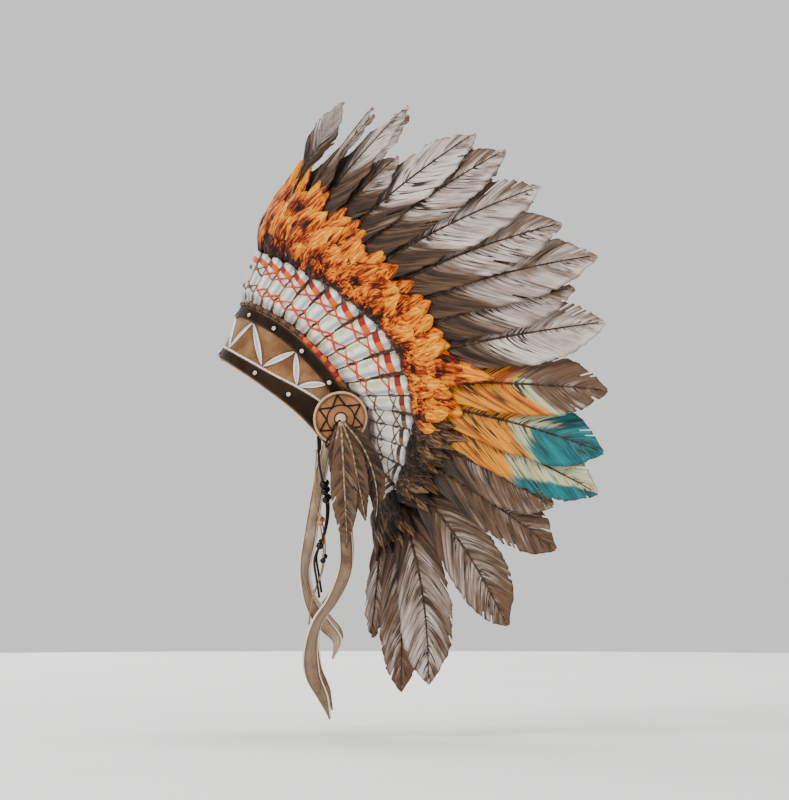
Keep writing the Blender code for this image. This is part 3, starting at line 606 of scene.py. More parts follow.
def vane_roll(place, shares):
    """Turn of a vane about its shaft: even, but growing to the tip on the feathers at the brow."""
    turn = BROW_TURN * max(0.0, 1 - place / BROW_TURN_PLACES)
    return VANE_ROLL + turn * np.interp(shares, (TURN_START, TURN_END), (0, 1))


# Finishes


def linear(code):
    """Linear colour of a web colour code."""
    parts = np.array([int(code[at:at + 2], 16) for at in (1, 3, 5)]) / 255
    parts = np.where(parts <= 0.04045, parts / 12.92, ((parts + 0.055) / 1.055) ** 2.4)
    return (*parts.tolist(), 1.0)


class Signal:
    """An output of a node. Reckoning with it adds a node after it and gives that one's output."""

    def __init__(self, tree, socket):
        self.tree, self.socket = tree, socket

    def maths(self, operation, *others):
        """Result of a Math node."""
        return node(self.tree, "ShaderNodeMath", dict(enumerate((self, *others))),
                    operation=operation)

    def __add__(self, other):
        return self.maths("ADD", other)

    def __sub__(self, other):
        return self.maths("SUBTRACT", other)

    def __mul__(self, other):
        return self.maths("MULTIPLY", other)

    def __abs__(self):
        return self.maths("ABSOLUTE")

    def scaled(self, factor, extra):
        """The value times a factor, plus an extra."""
        return self.maths("MULTIPLY_ADD", factor, extra)

    def rise(self, low, high, shape="SMOOTHSTEP"):
        """0 where the value is at low and 1 where it is at high, and steady past both."""
        return node(self.tree, "ShaderNodeMapRange", {0: self, 1: low, 2: high, 3: 0.0, 4: 1.0},
                    interpolation_type=shape)

    def colours(self, low, high):
        """The colour between two others at this share."""
        return node(self.tree, "ShaderNodeMix", {0: self, 6: low, 7: high}, 2, data_type="RGBA")

    def shaded(self, grey):
        """The colour times a grey."""
        return node(self.tree, "ShaderNodeMix", {0: 1.0, 6: self, 7: combine(grey, grey, grey)},
                    2, data_type="RGBA", blend_type="MULTIPLY")


def node(tree, kind, inputs, output=0, **settings):
    """Adds a node with its settings, sets or links its inputs, and gives one output."""
    made = tree.nodes.new(kind)
    for key, value in settings.items():
        setattr(made, key, value)
    for key, value in inputs.items():
        if isinstance(value, Signal):
            tree.links.new(value.socket, made.inputs[key])
        else:
            made.inputs[key].default_value = linear(value) if isinstance(value, str) else value
    return Signal(tree, made.outputs[output])


def noise(vector, scale, detail=3.0, roughness=0.55, distortion=0.0):
    """Value of a noise texture."""
    return node(vector.tree, "ShaderNodeTexNoise",
                {"Vector": vector, "Scale": scale, "Detail": detail, "Roughness": roughness,
                 "Distortion": distortion})


def combine(x, y, z):
    """A vector from three numbers."""
    return node(x.tree, "ShaderNodeCombineXYZ", {0: x, 1: y, 2: z})


def colour_ramp(value, rows):
    """Colours over a value, from rows of place and web colour code."""
    ramp = node(value.tree, "ShaderNodeValToRGB", {0: value})
    stops = ramp.socket.node.color_ramp.elements
    for number, (at, code) in enumerate(rows):
        stop = stops[number] if number < 2 else stops.new(at)
        stop.position, stop.color = at, linear(code)
    return ramp


class Finish:
    """A Principled material: its tree, its shader and its own coordinates."""

    def __init__(self, name, roughness, **sockets):
        self.material = bpy.data.materials.new(name)
        self.material.use_nodes = True
        self.tree = self.material.node_tree
        self.shader = self.tree.nodes["Principled BSDF"]
        for key, value in {"Roughness": roughness, **sockets}.items():
            self.shader.inputs[key.replace("_", " ")].default_value = value
        self.place = node(self.tree, "ShaderNodeTexCoord", {}, "Object")

    def kept(self, name):
        """The three parts of a value kept at the points of a mesh."""
        whole = node(self.tree, "ShaderNodeAttribute", {}, "Vector", attribute_name=name)
        parts = node(self.tree, "ShaderNodeSeparateXYZ", {0: whole})
        return [Signal(self.tree, socket) for socket in parts.socket.node.outputs]

    def painted(self, colour, height=None, distance=0.0, strength=1.0):
        """The material with its colour and a relief whose full height is the distance."""
        self.tree.links.new(colour.socket, self.shader.inputs["Base Color"])
        if height:
            relief = node(self.tree, "ShaderNodeBump", {"Strength": strength,
                                                        "Distance": distance, "Height": height})
            self.tree.links.new(relief.socket, self.shader.inputs["Normal"])
        return self.material


def feather_finish():
    """Mottled grey-brown vane: barb streaks, oblique dark strokes and lines (the lines partly
    painted shade between clumps of barbs), dyed patches, a dark base that is painted shade under
    the plumes, and painted shade along its edges.
    """
    finish = Finish("mottled_feather", 0.66, Sheen_Weight=0.08, Sheen_Roughness=0.4,
                    Specular_IOR_Level=0.3)
    side, barb, seed = finish.kept("blade")
    pale, brown, dark = finish.kept("tones")
    orange, cream, teal = finish.kept("dyes")
    reach = abs(side)
    shift = seed * 17.0

    def barbs(along, across, detail, lane=0.0):
        """Noise drawn out along the barbs, with so many changes along the shaft."""
        return noise(combine(barb.scaled(along, shift), side.scaled(across, lane), seed),
                     1.0, detail, 0.6)

    fine = barbs(150.0, 1.3, 2.0)
    stroke = barbs(22.0, 0.7, 4.0, 3.0)
    hatch = barbs(26.0, 0.5, 2.0, 9.0)
    patch = barbs(5.5, 1.3, 3.0, 5.0)
    tone = stroke.scaled(0.7, patch.scaled(2.0, pale - 1.42))
    colour = tone.rise(0.0, 1.0, "LINEAR").colours("#765e4a", "#d0c2ba")
    mottle = patch.scaled(-0.5, brown.scaled(1.5, stroke.scaled(2.6, -1.56)))
    colour = mottle.rise(0.0, 0.9).colours(colour, "#5a3f29")
    colour = stroke.scaled(2.6, dark - 1.66).rise(0.0, 0.7).colours(colour, "#1c0f06")
    ragged = (fine - 0.5).scaled(0.6, stroke.scaled(1.1, -0.55))
    for amount, low, high in ((cream, "#a89a68", "#b9c29c"), (orange, "#8e3000", "#e08c00"),
                              (teal, "#00343a", "#006e72")):
        wet = (amount + ragged).rise(0.36, 0.64) * amount.rise(0.02, 0.1)
        colour = wet.colours(colour, stroke.rise(0.32, 0.6).colours(low, high))
    # Thin dark lines between clumps of barbs, also grooves in the relief: partly the feather's own
    # marks, partly painted shade in the gaps between the clumps
    group = dark.scaled(0.25, patch).rise(0.44, 0.62)
    line = abs(hatch - 0.5).rise(0.05, 0.012) * group.scaled(0.65, 0.35)
    line = line * reach.rise(0.98, 0.55)
    root = stroke.rise(0.42, 0.66) * reach.rise(0.34, 0.02)
    line = line.maths("MAXIMUM", root * 0.6)
    colour = line.colours(colour, "#2c1a0e")
    # Painted shade: both edges of the vane darkened for the shadow of the neighbouring feathers
    colour = (reach.rise(0.9, 1.0) * 0.55).colours(colour, "#2c1c12")
    colour = colour.shaded(fine.scaled(0.7, 0.62))
    return finish.painted(colour, line.scaled(-0.6, fine), 0.6 * MM, 0.8)


def plume_finish():
    """Soft dyed plume: dark at its root, shaft and edges, bright at its tip, streaked by barbs,
    with blots of painted shade.
    """
    finish = Finish("dyed_plume", 0.85, Sheen_Weight=0.05, Sheen_Roughness=0.5,
                    Specular_IOR_Level=0.2)
    side, along, seed = finish.kept("blade")
    brown = finish.kept("tones")[1]
    shift = seed * 23.0
    reach = abs(side)
    streak = noise(combine(along.scaled(5.5, shift), side * 4.6, seed), 1.0, 4.0, 0.65)
    patch = noise(combine(along.scaled(2.6, shift), side, seed), 1.0, 2.0)
    value = along.scaled(0.66, streak.scaled(1.9, patch - 1.31))
    value = reach.rise(0.55, 1.0).scaled(-0.26, value)
    value = reach.rise(0.14, 0.0).scaled(-0.20, value)
    value = (seed - 0.5).scaled(0.34, value)
    # Painted shade: dark blots laid over the plumes by their place in space, for depth in the gaps
    # between them
    value = noise(finish.place, 46.0, 3.0).rise(0.50, 0.66).scaled(-0.30, value)
    bright = colour_ramp(value, ((0.0, "#120300"), (0.20, "#3c0e00"), (0.36, "#842800"),
                                 (0.52, "#bc5800"), (0.76, "#dc8400"), (1.0, "#f0b028")))
    drab = colour_ramp(value, ((0.0, "#080402"), (0.35, "#1a0f07"), (0.65, "#4a311d"),
                               (0.95, "#86684c")))
    fleck = seed.scaled(0.22, streak).rise(0.84, 0.90)
    colour = brown.colours(fleck.colours(bright, "#e6cf9a"), drab)
    return finish.painted(colour, streak, 0.5 * MM, 0.8)


def wrap_finish():
    """Cloth-wound quill: cream with the painted shading of a round tube (a cool grey shade on one
    flank, an olive tone on the other, painted shade at both sides), a dyed band, and a white end.
    """
    finish = Finish("wound_cloth", 0.8, Sheen_Weight=0.05)
    around, along, number = finish.kept("wrap")
    rear = number.rise(11.6, 12.4)
    weave = noise(finish.place, 900.0, 2.0)
    stain = noise(finish.place, 110.0, 4.0, 0.6)
    edge = stain.scaled(0.7, around - 0.35)
    # Painted shading of the round wrap: a cool grey shade along one flank and an olive tone along
    # the other
    cool = edge.rise(0.10, 0.45) * around.rise(0.78, 0.66)
    olive = edge.rise(-0.15, -0.5) * around.rise(-0.82, -0.7)
    colour = stain.rise(0.35, 0.65).colours("#d9d4c0", "#f4f1e2")
    for share, amount, code in ((cool, 0.8, "#8b93a6"), (olive, 0.8, "#b5b380"),
                                (rear, 0.55, "#cdbfc4"), (number.rise(1.6, 0.4), 0.5, "#c4b6b8")):
        colour = (share * amount).colours(colour, code)
    lot = stain.scaled(0.2, around).rise(0.02, 0.14)
    dyed = rear.colours(lot.colours("#861000", "#cc5600"), lot.colours("#2f1d12", "#6f4f33"))
    band = stain.scaled(0.03, along - 0.015)
    colour = (band.rise(0.765, 0.78) * band.rise(0.895, 0.88)).colours(colour, dyed)
    # Painted shade at both sides of each wrap, in the grooves between neighbouring wraps
    colour = (abs(around).rise(0.86, 0.985) * 0.85).colours(colour, "#3a281c")
    colour = (along.rise(0.22, 0.0) * 0.6).colours(colour, "#5b4432")
    wound = along.scaled(62.0, around * 0.9).maths("PINGPONG", 1.0)
    colour = colour.shaded(wound.rise(0.0, 0.25).scaled(0.2, 0.82))
    return finish.painted(colour, weave.scaled(0.25, wound), 0.5 * MM, 0.6)


def leather_finish(name, base, bright, worn):
    """Leather: blotched colour, pebbled grain, rubbed paler patches and edges, and painted shade
    kept at its points.
    """
    finish = Finish(name, 0.7, Specular_IOR_Level=0.12)
    blotch = noise(finish.place, 34.0, 5.0, 0.6)
    rub = noise(finish.place, 120.0, 4.0, 0.65)
    pebble = node(finish.tree, "ShaderNodeTexVoronoi", {"Vector": finish.place, "Scale": 520.0},
                  "Distance", feature="DISTANCE_TO_EDGE")
    # Kept values: rubbed wear along the edges (on the rosette's rim partly a painted highlight),
    # then depth, the painted shade beside the quilled strips and in the rosette's groove
    edge, depth, _ = finish.kept("wear")
    colour = blotch.rise(0.32, 0.68).colours(base, bright)
    colour = rub.scaled(0.9, edge - 0.6).colours(colour, worn)
    # Painted shade from the kept depth
    colour = depth.colours(colour, "#1d120a")
    colour = colour.shaded(pebble.rise(0.0, 0.25).scaled(0.18, 0.84))
    return finish.painted(colour, pebble.rise(0.0, 0.3).scaled(0.35, rub), 0.35 * MM, 0.6)


def suede_finish(name, base, bright):
    """Soft suede: short nap, slow changes of tone, a paler inner side and thin pale edges."""
    finish = Finish(name, 0.88, Sheen_Weight=0.1, Sheen_Roughness=0.6)
    blotch = noise(finish.place, 60.0, 5.0, 0.65)
    nap = noise(finish.place, 800.0, 3.0)
    across, front, along = finish.kept("ribbon")
    streak = noise(combine(across * 3.0, along * 5.0, 0.0), 1.0, 4.0, 0.6)
    reach = abs(across)
    colour = blotch.rise(0.3, 0.7).colours(base, bright)
    colour = (front * 0.8).colours(colour, "#9c8268")
    colour = (streak.rise(0.5, 0.7) * 0.65).colours(colour, "#38251a")
    colour = (reach.rise(0.55, 0.85) * 0.7).colours(colour, "#3d291a")
    colour = reach.rise(0.86, 0.93).colours(colour, "#dccdb8")
    return finish.painted(colour, nap.scaled(0.4, blotch), 0.4 * MM, 0.5)


def clouded_finish(name, base, bright, scale, spread, relief, roughness, **sockets):
    """Two colours clouded by a noise that is also the relief."""
    finish = Finish(name, roughness, **sockets)
    cloud = noise(finish.place, scale, 3.0)
    return finish.painted(cloud.rise(*spread).colours(base, bright), cloud, *relief)


def shaft_finish(name, base, bright):
    """Smooth horn of a feather's shaft, paler in streaks along it."""
    return clouded_finish(name, base, bright, 220.0, (0.35, 0.75), (0.2 * MM, 0.5), 0.7,
                          Specular_IOR_Level=0.2)


def bead_finish(name, base, bright, roughness, coat=0.6):
    """Glassy bead with faint clouding."""
    return clouded_finish(name, base, bright, 300.0, (0.3, 0.7), (0.1 * MM, 0.3), roughness,
                          Coat_Weight=coat, Coat_Roughness=0.08, Specular_IOR_Level=0.5 * coat)


def felt_finish():
    """Pressed wool felt: tangled short fibres over a slow mottle."""
    finish = Finish("wool_felt", 0.95, Sheen_Weight=0.4, Sheen_Roughness=0.6)
    fibre = noise(finish.place, 650.0, 6.0, 0.7, 1.5)
    colour = noise(finish.place, 28.0, 4.0).rise(0.3, 0.7).colours("#4c3828", "#6a5240")
    return finish.painted((fibre * 0.4).colours(colour, "#8a735f"), fibre, 0.5 * MM, 0.6)


def thread_finish():
    """Twisted lacing thread: red-orange over the brow, brown at the very front and behind."""
    finish = Finish("lacing_thread", 0.7)
    number = finish.kept("wrap")[2]
    ply = noise(finish.place, 1400.0, 2.0)
    plain = number.rise(10.9, 11.5) + number.rise(1.9, 1.4)
    colour = plain.colours(ply.colours("#9c2200", "#d84600"), ply.colours("#38261a", "#6a4e38"))
    return finish.painted(colour, ply, 0.2 * MM, 0.6)


def roll_finish():
    """Beads sewn in a roll, brown at the front and rear and orange and dark red between."""
    finish = Finish("roll_beads", 0.5, Coat_Weight=0.1, Specular_IOR_Level=0.25)
    lump, angle, tint = finish.kept("roll")
    cloud = noise(combine(angle * 3.0, lump, tint), 6.0, 2.0)
    warm = tint.rise(0.45, 0.55).colours("#cc5600", "#861000")
    middle = angle.rise(62.0, 66.0) * angle.rise(97.0, 93.0)
    colour = middle.colours(tint.colours("#341c0a", "#5f3d1e"), warm)
    return finish.painted(colour.shaded(cloud.scaled(0.5, 0.7)), cloud, 0.2 * MM, 0.4)


def quill_finish():
    """Flattened split quills side by side: pale blue-grey with whiter edges and fine ridges."""
    finish = Finish("flat_quills", 0.42)
    across, along, _ = finish.kept("lens")
    ridge = (along * 26.0).maths("PINGPONG", 1.0)
    cloud = noise(finish.place, 160.0, 3.0)
    colour = abs(across).rise(0.25, 0.7).colours("#969eb0", "#e9e2df")
    colour = (cloud * 0.4).colours(colour, "#cfc6c0")
    colour = colour.shaded(ridge.rise(0.0, 0.3).scaled(0.2, 0.8))
    return finish.painted(colour, ridge, 0.2 * MM, 0.5)


# Pieces


def vane(outline, first, length, half, rng, splits, rows=96, columns=8, sweep=0.25):
    """One feather's web as a grid of barbs that leave the shaft and sweep to the tip.

    For a barb at share b of the shaft and a share s across, the run is first + length times
    (b + sweep (1 - b^3) |s|^1.35), and the distance aside is s times the outline at the barb's
    end. The front half narrows sooner at the tip. At a split the barbs on both sides lean apart,
    and the faces between them are left out from the split's depth to the edge.
    """
    barb = np.linspace(0, 1, rows) ** 0.92
    across = np.linspace(-1, 1, 2 * columns + 1)
    reach = np.abs(across)
    lead = sweep * (1 - barb ** 3) * np.minimum(1, barb / 0.12)
    rough = [np.interp(barb, np.linspace(0, 1, 34), rng.uniform(0.94, 1.03, 34))
             * rng.uniform(0.965, 1.0, rows) for _ in range(2)]
    tip = smooth_step(barb, 0.6, 0.97)
    front, rear = rough[0] * (0.96 - 0.30 * tip), rough[1] * (1.03 + 0.04 * tip)
    width = smooth_table(outline, barb + lead) * half
    width = width[:, None] * np.where(across < 0, front[:, None], rear[:, None])
    run = barb[:, None] + lead[:, None] * reach ** 1.35
    keep = np.ones((rows - 1, 2 * columns), dtype=bool)
    middle = (reach[:-1] + reach[1:]) / 2
    ahead = across[:-1] + across[1:] < 0
    for side, at, depth, gap in splits:
        lean = gap * np.where(barb < at, -1, 1) * np.exp(-np.abs(barb - at) / SPLIT_LEAN)
        open_share = np.clip((reach - depth) / (1 - depth), 0, 1) * (across * side > 0)
        run = run + lean[:, None] * open_share
        row = int(np.clip(np.searchsorted(barb, at) - 1, 0, rows - 2))
        keep[row, (middle > depth) & (ahead == (side < 0))] = False
    quads = grid_faces(rows, len(across))[keep.ravel()]
    return barb[:, None], across, first + length * run, across * width, quads


def random_splits(rng, count):
    """Places where a vane has come apart: side, share of the shaft, depth and width of the gap."""
    ats = rng.permutation(np.linspace(0.30, 0.88, 14))[:count] + rng.uniform(-0.015, 0.015, count)
    return [(rng.choice([-1, 1]), at, rng.uniform(0.60, 0.86), rng.uniform(0.004, 0.010))
            for at in ats]


def dye_amounts(place, barb, across):
    """Orange, cream and teal dye of the feathers behind the rosette, over shaft and width."""
    orange, cream, teal = 0.0, 0.0, np.zeros((len(barb), len(across)))
    if place == 11:
        orange = smooth_step(0.50 - barb + 0.05 * across, -0.10, 0.10)
        cream = smooth_step(0.60 - barb, -0.06, 0.06) * (across > -0.2)
    elif place == 12:
        orange = smooth_step(0.50 - barb - 0.05 * across, -0.10, 0.10)
        cream = smooth_step(0.78 - barb, -0.10, 0.10)
        teal = smooth_step(barb + 0.16 * np.abs(across + 0.3), 0.54, 0.80)
    elif place == 13:
        orange = (smooth_step(0.46 - barb - 0.06 * across, -0.10, 0.10)
                  + 0.42 * smooth_step(across, 0.82, 1.0) * smooth_step(barb, 0.7, 0.85))
        cream = 1.0
        teal = smooth_step(across + 0.5 * barb, 0.66, 1.16) * smooth_step(barb, 0.20, 0.50)
    elif place == 14:
        cream = 0.35 * smooth_step(barb, 0.5, 0.8)
    return stacked(orange, cream, teal)


def crown_feather(place, seed):
    """One long feather of the crown on the wearer's left: its vane and its shaft."""
    rng = np.random.default_rng(seed)
    first = wrap_length(place) + VANE_GAP
    length = feather_length(place) - first
    half = VANE_HALF_WIDTH * fan_column(WIDTH_SHARE, place)
    splits = random_splits(rng, rng.integers(5, 9))
    barb, across, run, aside, quads = vane(VANE_OUTLINE, first, length, half, rng, splits)
    reach = np.abs(across)
    curl = rng.uniform(-1.5, 3.0) * MM
    wave = rng.uniform(0, 2 * math.pi, 2)
    share = (run - first) / length
    ripple = (0.9 * MM * reach * np.sin(9 * math.pi * barb + wave[0])
              + 0.5 * MM * across * np.sin(18 * math.pi * barb + wave[1]))
    rise = ripple + curl * share ** 2 - VANE_CAMBER * across ** 2 * half / VANE_HALF_WIDTH
    point, sideways, outward = fan_frame(place, run)
    roll = vane_roll(place, share)[..., None]
    width = sideways * np.cos(roll) + outward * np.sin(roll)
    above = outward * np.cos(roll) - sideways * np.sin(roll)
    points = moved(point, width, aside, above, rise)
    behind = -VANE_THICKNESS * (1.4 - reach)[:, None] * above
    pale, brown, dark = FEATHER_TONES[place]
    # Painted shade in the tones: the base darkened where it lies under the plumes, and the front
    # half (lead) browned where the neighbouring feather overlaps it, while the rear half is made
    # paler
    base = smooth_step(plume_reach(place) / length + 0.20 - barb, 0.0, 0.20)
    tip = smooth_step(barb, 0.72, 0.95) * rng.uniform(0.1, 0.8)
    lead = smooth_step(-across, 0.1, 0.9) * rng.uniform(0.1, 0.7)
    tones = stacked(pale - 0.7 * base + 0.25 * smooth_step(across, 0.0, 0.8) - 0.4 * tip,
                    brown + 0.60 * base + 0.30 * tip + 0.45 * lead, 0.6 * dark + 0.55 * base)
    web = shell(points, behind, {"blade": stacked(across, barb, rng.uniform(0, 1)),
                                 "tones": tones, "dyes": dye_amounts(place, barb, across)}, quads)
    walk = np.linspace(SHAFT_START, SHAFT_END * length, 46) + first
    stem = np.clip((walk - first) / length, 0, 1)
    core, beside, outward = fan_frame(place, walk)
    core = core + outward * (curl * stem ** 2 + SHAFT_LIFT)[:, None]
    rings = rings_round(core, beside, outward, SHAFT_RADIUS - SHAFT_TAPER * stem, 7)
    return joined([web, tube(rings, finish=1)])


def plume(place, root, length, half, lifts, rng, turn, brown=0.0, rows=16, columns=3, peak=0.75,
          blunt=0.9):
    """One soft plume: a leaf that arches up from its root and droops at its tip.

    Its half width is a sine over the share to the power of its peak, raised to its bluntness. Its
    edge is jittered, and its lift runs from the first to the second height, over the third as a
    sine arch.
    """
    share = np.linspace(0, 1, rows)[:, None]
    across = np.linspace(-1, 1, 2 * columns + 1)
    reach = np.abs(across)
    lead = 0.16 * (1 - share) * np.minimum(1, share / 0.1)
    outline = np.clip(np.sin(math.pi * np.clip(share + lead, 0, 1) ** peak), 0.0, 1) ** blunt
    jag = rng.uniform(0.84, 1.08, (rows, 2))
    jag = np.where(across < 0, jag[:, :1], jag[:, 1:])
    run = share + lead * reach ** 1.3 + rng.uniform(-0.02, 0.02, (rows, 1)) * reach
    bend = rng.uniform(-0.22, 0.22)
    aside = (across * half * np.maximum(outline * (1 + (jag - 1) * reach), 0.03)
             + length * run * (math.sin(turn) + bend * run))
    start, end, arch = lifts
    rise = (start + (end - start) * run + arch * np.sin(math.pi * np.clip(run, 0, 1))
            - 0.20 * half * across ** 2 + rng.uniform(-0.25, 0.25, run.shape) * MM)
    point, beside, outward = fan_frame(place, root + length * run * math.cos(turn))
    return shell(moved(point, outward, rise, beside, aside), -PLUME_THICKNESS * outward,
                 {"blade": stacked(across, share, rng.uniform(0, 1)),
                  "tones": stacked(0.0, brown, np.zeros_like(run))})


def plume_cover():
    """All the plumes on the wearer's left: long ones below, shorter and higher ones over them."""
    rng = np.random.default_rng(PLUME_SEED)
    pieces = []
    for step, size, slim, lifts in PLUME_LAYERS:
        for place in np.arange(-0.4, 19.4, step):
            place = place + rng.uniform(-0.12, 0.12)
            brown = float(place > PLUMES_TURN_BROWN + 0.6 * size + rng.uniform(-0.4, 0.4))
            longer, slimmer, lower, peak, blunt = ((1.75, 0.8, 0.7, 0.75, 0.9) if brown
                                                   else (1.0, 1.0, 1.0, 1.05, 0.45))
            length = plume_reach(place) * size * rng.uniform(0.93, 1.05) * longer
            root = wrap_length(place) + rng.uniform(-3, 3) * MM
            half = (6 + 46 * slim * rng.uniform(0.8, 1.2)) * MM * slimmer
            lift = np.array(lifts) * rng.uniform(0.85, 1.15, 3) * lower * MM
            pieces.append(plume(place, root, length, half, lift, rng, rng.uniform(-0.2, 0.2),
                                brown, peak=peak, blunt=blunt))
    for place in np.arange(13.2, 19.6, 0.45):
        lift = np.array((2, -13, 2)) * rng.uniform(0.8, 1.2) * MM
        pieces.append(plume(place + rng.uniform(-0.1, 0.1), wrap_length(place),
                            rng.uniform(52, 78) * MM, rng.uniform(9, 12) * MM, lift, rng,
                            rng.uniform(-0.3, 0.3), 1.0))
    pieces.append(plume(10.45, wrap_length(10.45) + 4 * MM, 100 * MM, 17 * MM,
                        np.array([5, 9, 6]) * MM, rng, 0.06, rows=44, columns=5, peak=0.72,
                        blunt=0.85))
    for place, length in BROW_PLUMES:
        pieces.append(plume(place, wrap_length(place) + 2 * MM, length * MM, 12 * MM,
                            np.array([3, 6, 4]) * MM, rng, rng.uniform(-0.1, 0.1), rows=24,
                            peak=0.9, blunt=0.6))
    return joined(pieces)


def quill_wraps():
    """Wraps on the wearer's left: tubes pinched under each lacing, with a rounded end."""
    along = np.concatenate([
        np.linspace(-0.05, WRAP_SHOULDER, 44),
        WRAP_SHOULDER + (1 - WRAP_SHOULDER) * np.sin(np.linspace(0.15, 1.5, 7))])
    pinch = 1 - sum(depth * np.exp(-((along - at) / width) ** 2)
                    for at, depth, width in WRAP_PINCHES)
    past = np.maximum(along - WRAP_SHOULDER, 0) / 0.0705
    close = np.sqrt(np.clip(1 - past ** 2, 0, 1))
    opened = smooth_step(along, 0.0, 0.16)
    high = (WRAP_FLAT + WRAP_OPENING * opened) * (0.5 + 0.5 * pinch) * close
    across, above = np.cos(circle(20)), np.sin(circle(20))
    lift = WRAP_OPENING * opened[:, None] + high[:, None] * np.sign(above) * np.abs(above) ** 0.8
    pieces = []
    for place in range(FEATHERS_A_SIDE):
        run = along * wrap_length(place)
        wide = 0.505 * fan_value(FAN_SPACING, place, run) * pinch * close
        rings = fan_point(place, run[:, None], lift, wide[:, None] * across)
        kept = stacked(across, along[:, None], float(place))
        pieces.append(tube(rings[:, ::-1], {"wrap": kept[:, ::-1]}))
    return joined(pieces)


def wrap_lift(place):
    """Height of the wraps' outer face at any place: half an ellipse over each wrap."""
    offset = np.abs(place - np.round(place)) * 2
    arch = np.sqrt(np.clip(1 - (0.93 * offset) ** 2, 0, 1))
    return WRAP_OPENING + (WRAP_FLAT + WRAP_OPENING) * arch


def lacing():
    """Two rows of thread on the wearer's left, each of two zigzags that cross on every wrap."""
    rng = np.random.default_rng(LACING_SEED)
    places = np.arange(-0.5, 19.501, 0.1)
    knots = np.arange(-0.5, 20.0, 1.0)
    pieces = []
    for row in LACE_ROWS:
        for way in (-1, 1):
            swing = way * np.where(np.arange(len(knots)) % 2 == 0, 1, -1)
            swing = swing * rng.uniform(0.7, 1.25, len(knots)) * LACE_SWING
            run = row * wrap_length(places) + np.interp(places, knots, swing)
            path = fan_point(places, run, wrap_lift(places) - LACE_SINK)
            thick = (0.80 + 0.62 * rng.uniform(0, 1, 25)[np.arange(len(places)) // 9]) * MM
            thick = thick * np.interp(places, (10.5, 11.5), (1.0, 0.75))
            thick = thick * (0.75 + 0.45 * np.cos(2 * math.pi * places) ** 2)
            pieces.append(rope(path, fan_value(FAN_OUTWARD, places, run), thick, 6, 0.8,
                               {"wrap": stacked(0.0, 0.0, places[:, None])}))
    return joined(pieces)


def groove_spikes():
    """Thin dark quill ends that lie in some grooves between the wraps, on the wearer's left."""
    share = np.linspace(0, 1, 16)
    radius = 1.15 * MM * np.sin(math.pi * np.clip(share * 0.93 + 0.07, 0, 1)) ** 0.6 + 0.1 * MM
    pieces = []
    for number, place in enumerate(SPIKES):
        run = np.linspace(0.42 + 0.05 * (number % 2), 1.30 + 0.12 * (number % 3), 16)
        run = run * wrap_length(place)
        path = fan_point(place + 0.10 * (share - 0.5), run, (4.6 + 5.5 * share) * MM)
        pieces.append(rope(path, fan_value(FAN_OUTWARD, place, run), radius))
    return joined(pieces)


def cap_shell():
    """Felt cap in one run of rings: the inner skin down to the rim and the outer skin up again.

    The outer skin lies a wall's width out from the inner one, with six raised seams, each a bell
    curve over the angle.
    """
    angles = circle(144)
    rim = ring_height(BAND_LOW, np.minimum(angles, 2 * math.pi - angles)) + RIM_INSET
    wall = rim + np.linspace(0, 1, 14)[:, None] * (SHOULDER_UP - rim)
    lift = np.linspace(0, math.pi / 2, 28)[1:-1, None]
    dome = SHOULDER_UP + (CROWN_UP - SHOULDER_UP) * np.sin(lift) * np.ones(len(angles))
    up = np.concatenate([wall, dome])
    turn = np.concatenate([np.zeros((len(wall), 1)), lift])
    seam = np.exp(-(((angles / (math.pi / 3) + 0.5) % 1 - 0.5) / 0.03) ** 2)
    plumb = ring_point(0, 0, 1) - ring_point(0, 0, 0)
    inner, outer = (cap_point(angles, up, out * np.cos(turn))
                    + plumb * (out * np.sin(turn))[..., None]
                    for out in (0 * seam, CAP_WALL + SEAM_HEIGHT * seam))
    return tube(np.concatenate([inner[::-1], outer]),
                ends=[ring_point(0, 0, CROWN_UP), ring_point(0, 0, CROWN_UP + CAP_WALL)])


def ring_strip(angles, low, high, inner, outer, rounding, rows, puff=0.0, wear=0.0, painted_shade=0.0):
    """A strip round the cap with rounded edges: a grid on its face and one on its back."""
    share = np.linspace(0, 1, rows)
    low, high = low[:, None], high[:, None]
    up = low + share * (high - low)
    edge = np.minimum(share, 1 - share) * (high - low)
    fall = rounding * (1 - np.sqrt(np.clip(1 - (1 - np.clip(edge / rounding, 0, 1)) ** 2, 0, 1)))
    face = cap_point(angles[:, None], up, outer - fall + puff)
    depth = cap_point(angles[:, None], up, inner) - face
    # Kept for the leather: rubbed wear along both edges, and the painted shade
    kept = stacked(np.exp(-edge / WEAR_WIDTH) * wear, painted_shade, 0.0)
    return shell(face, depth, {"wear": kept}, grid_faces(len(angles), rows)[:, ::-1])


def band_angles(count, short=0):
    """Angles along the band from its right end to its left end, stopping short of both."""
    return np.radians(np.linspace(short - BAND_END, BAND_END - short, count))


def edge_widths(angle):
    """Widths of the upper and lower dark strips at an angle round the ring."""
    return [smooth_table(table, np.degrees(np.abs(angle))) * MM
            for table in (UPPER_EDGE, LOWER_EDGE)]


def zigzag_sides():
    """Ends of each straight side of the quilled zigzag, as degrees and shares of the height."""
    corners = [(-at, up) for at, up in ZIGZAG[:0:-1]] + list(ZIGZAG)
    return zip(corners[:-1], corners[1:])


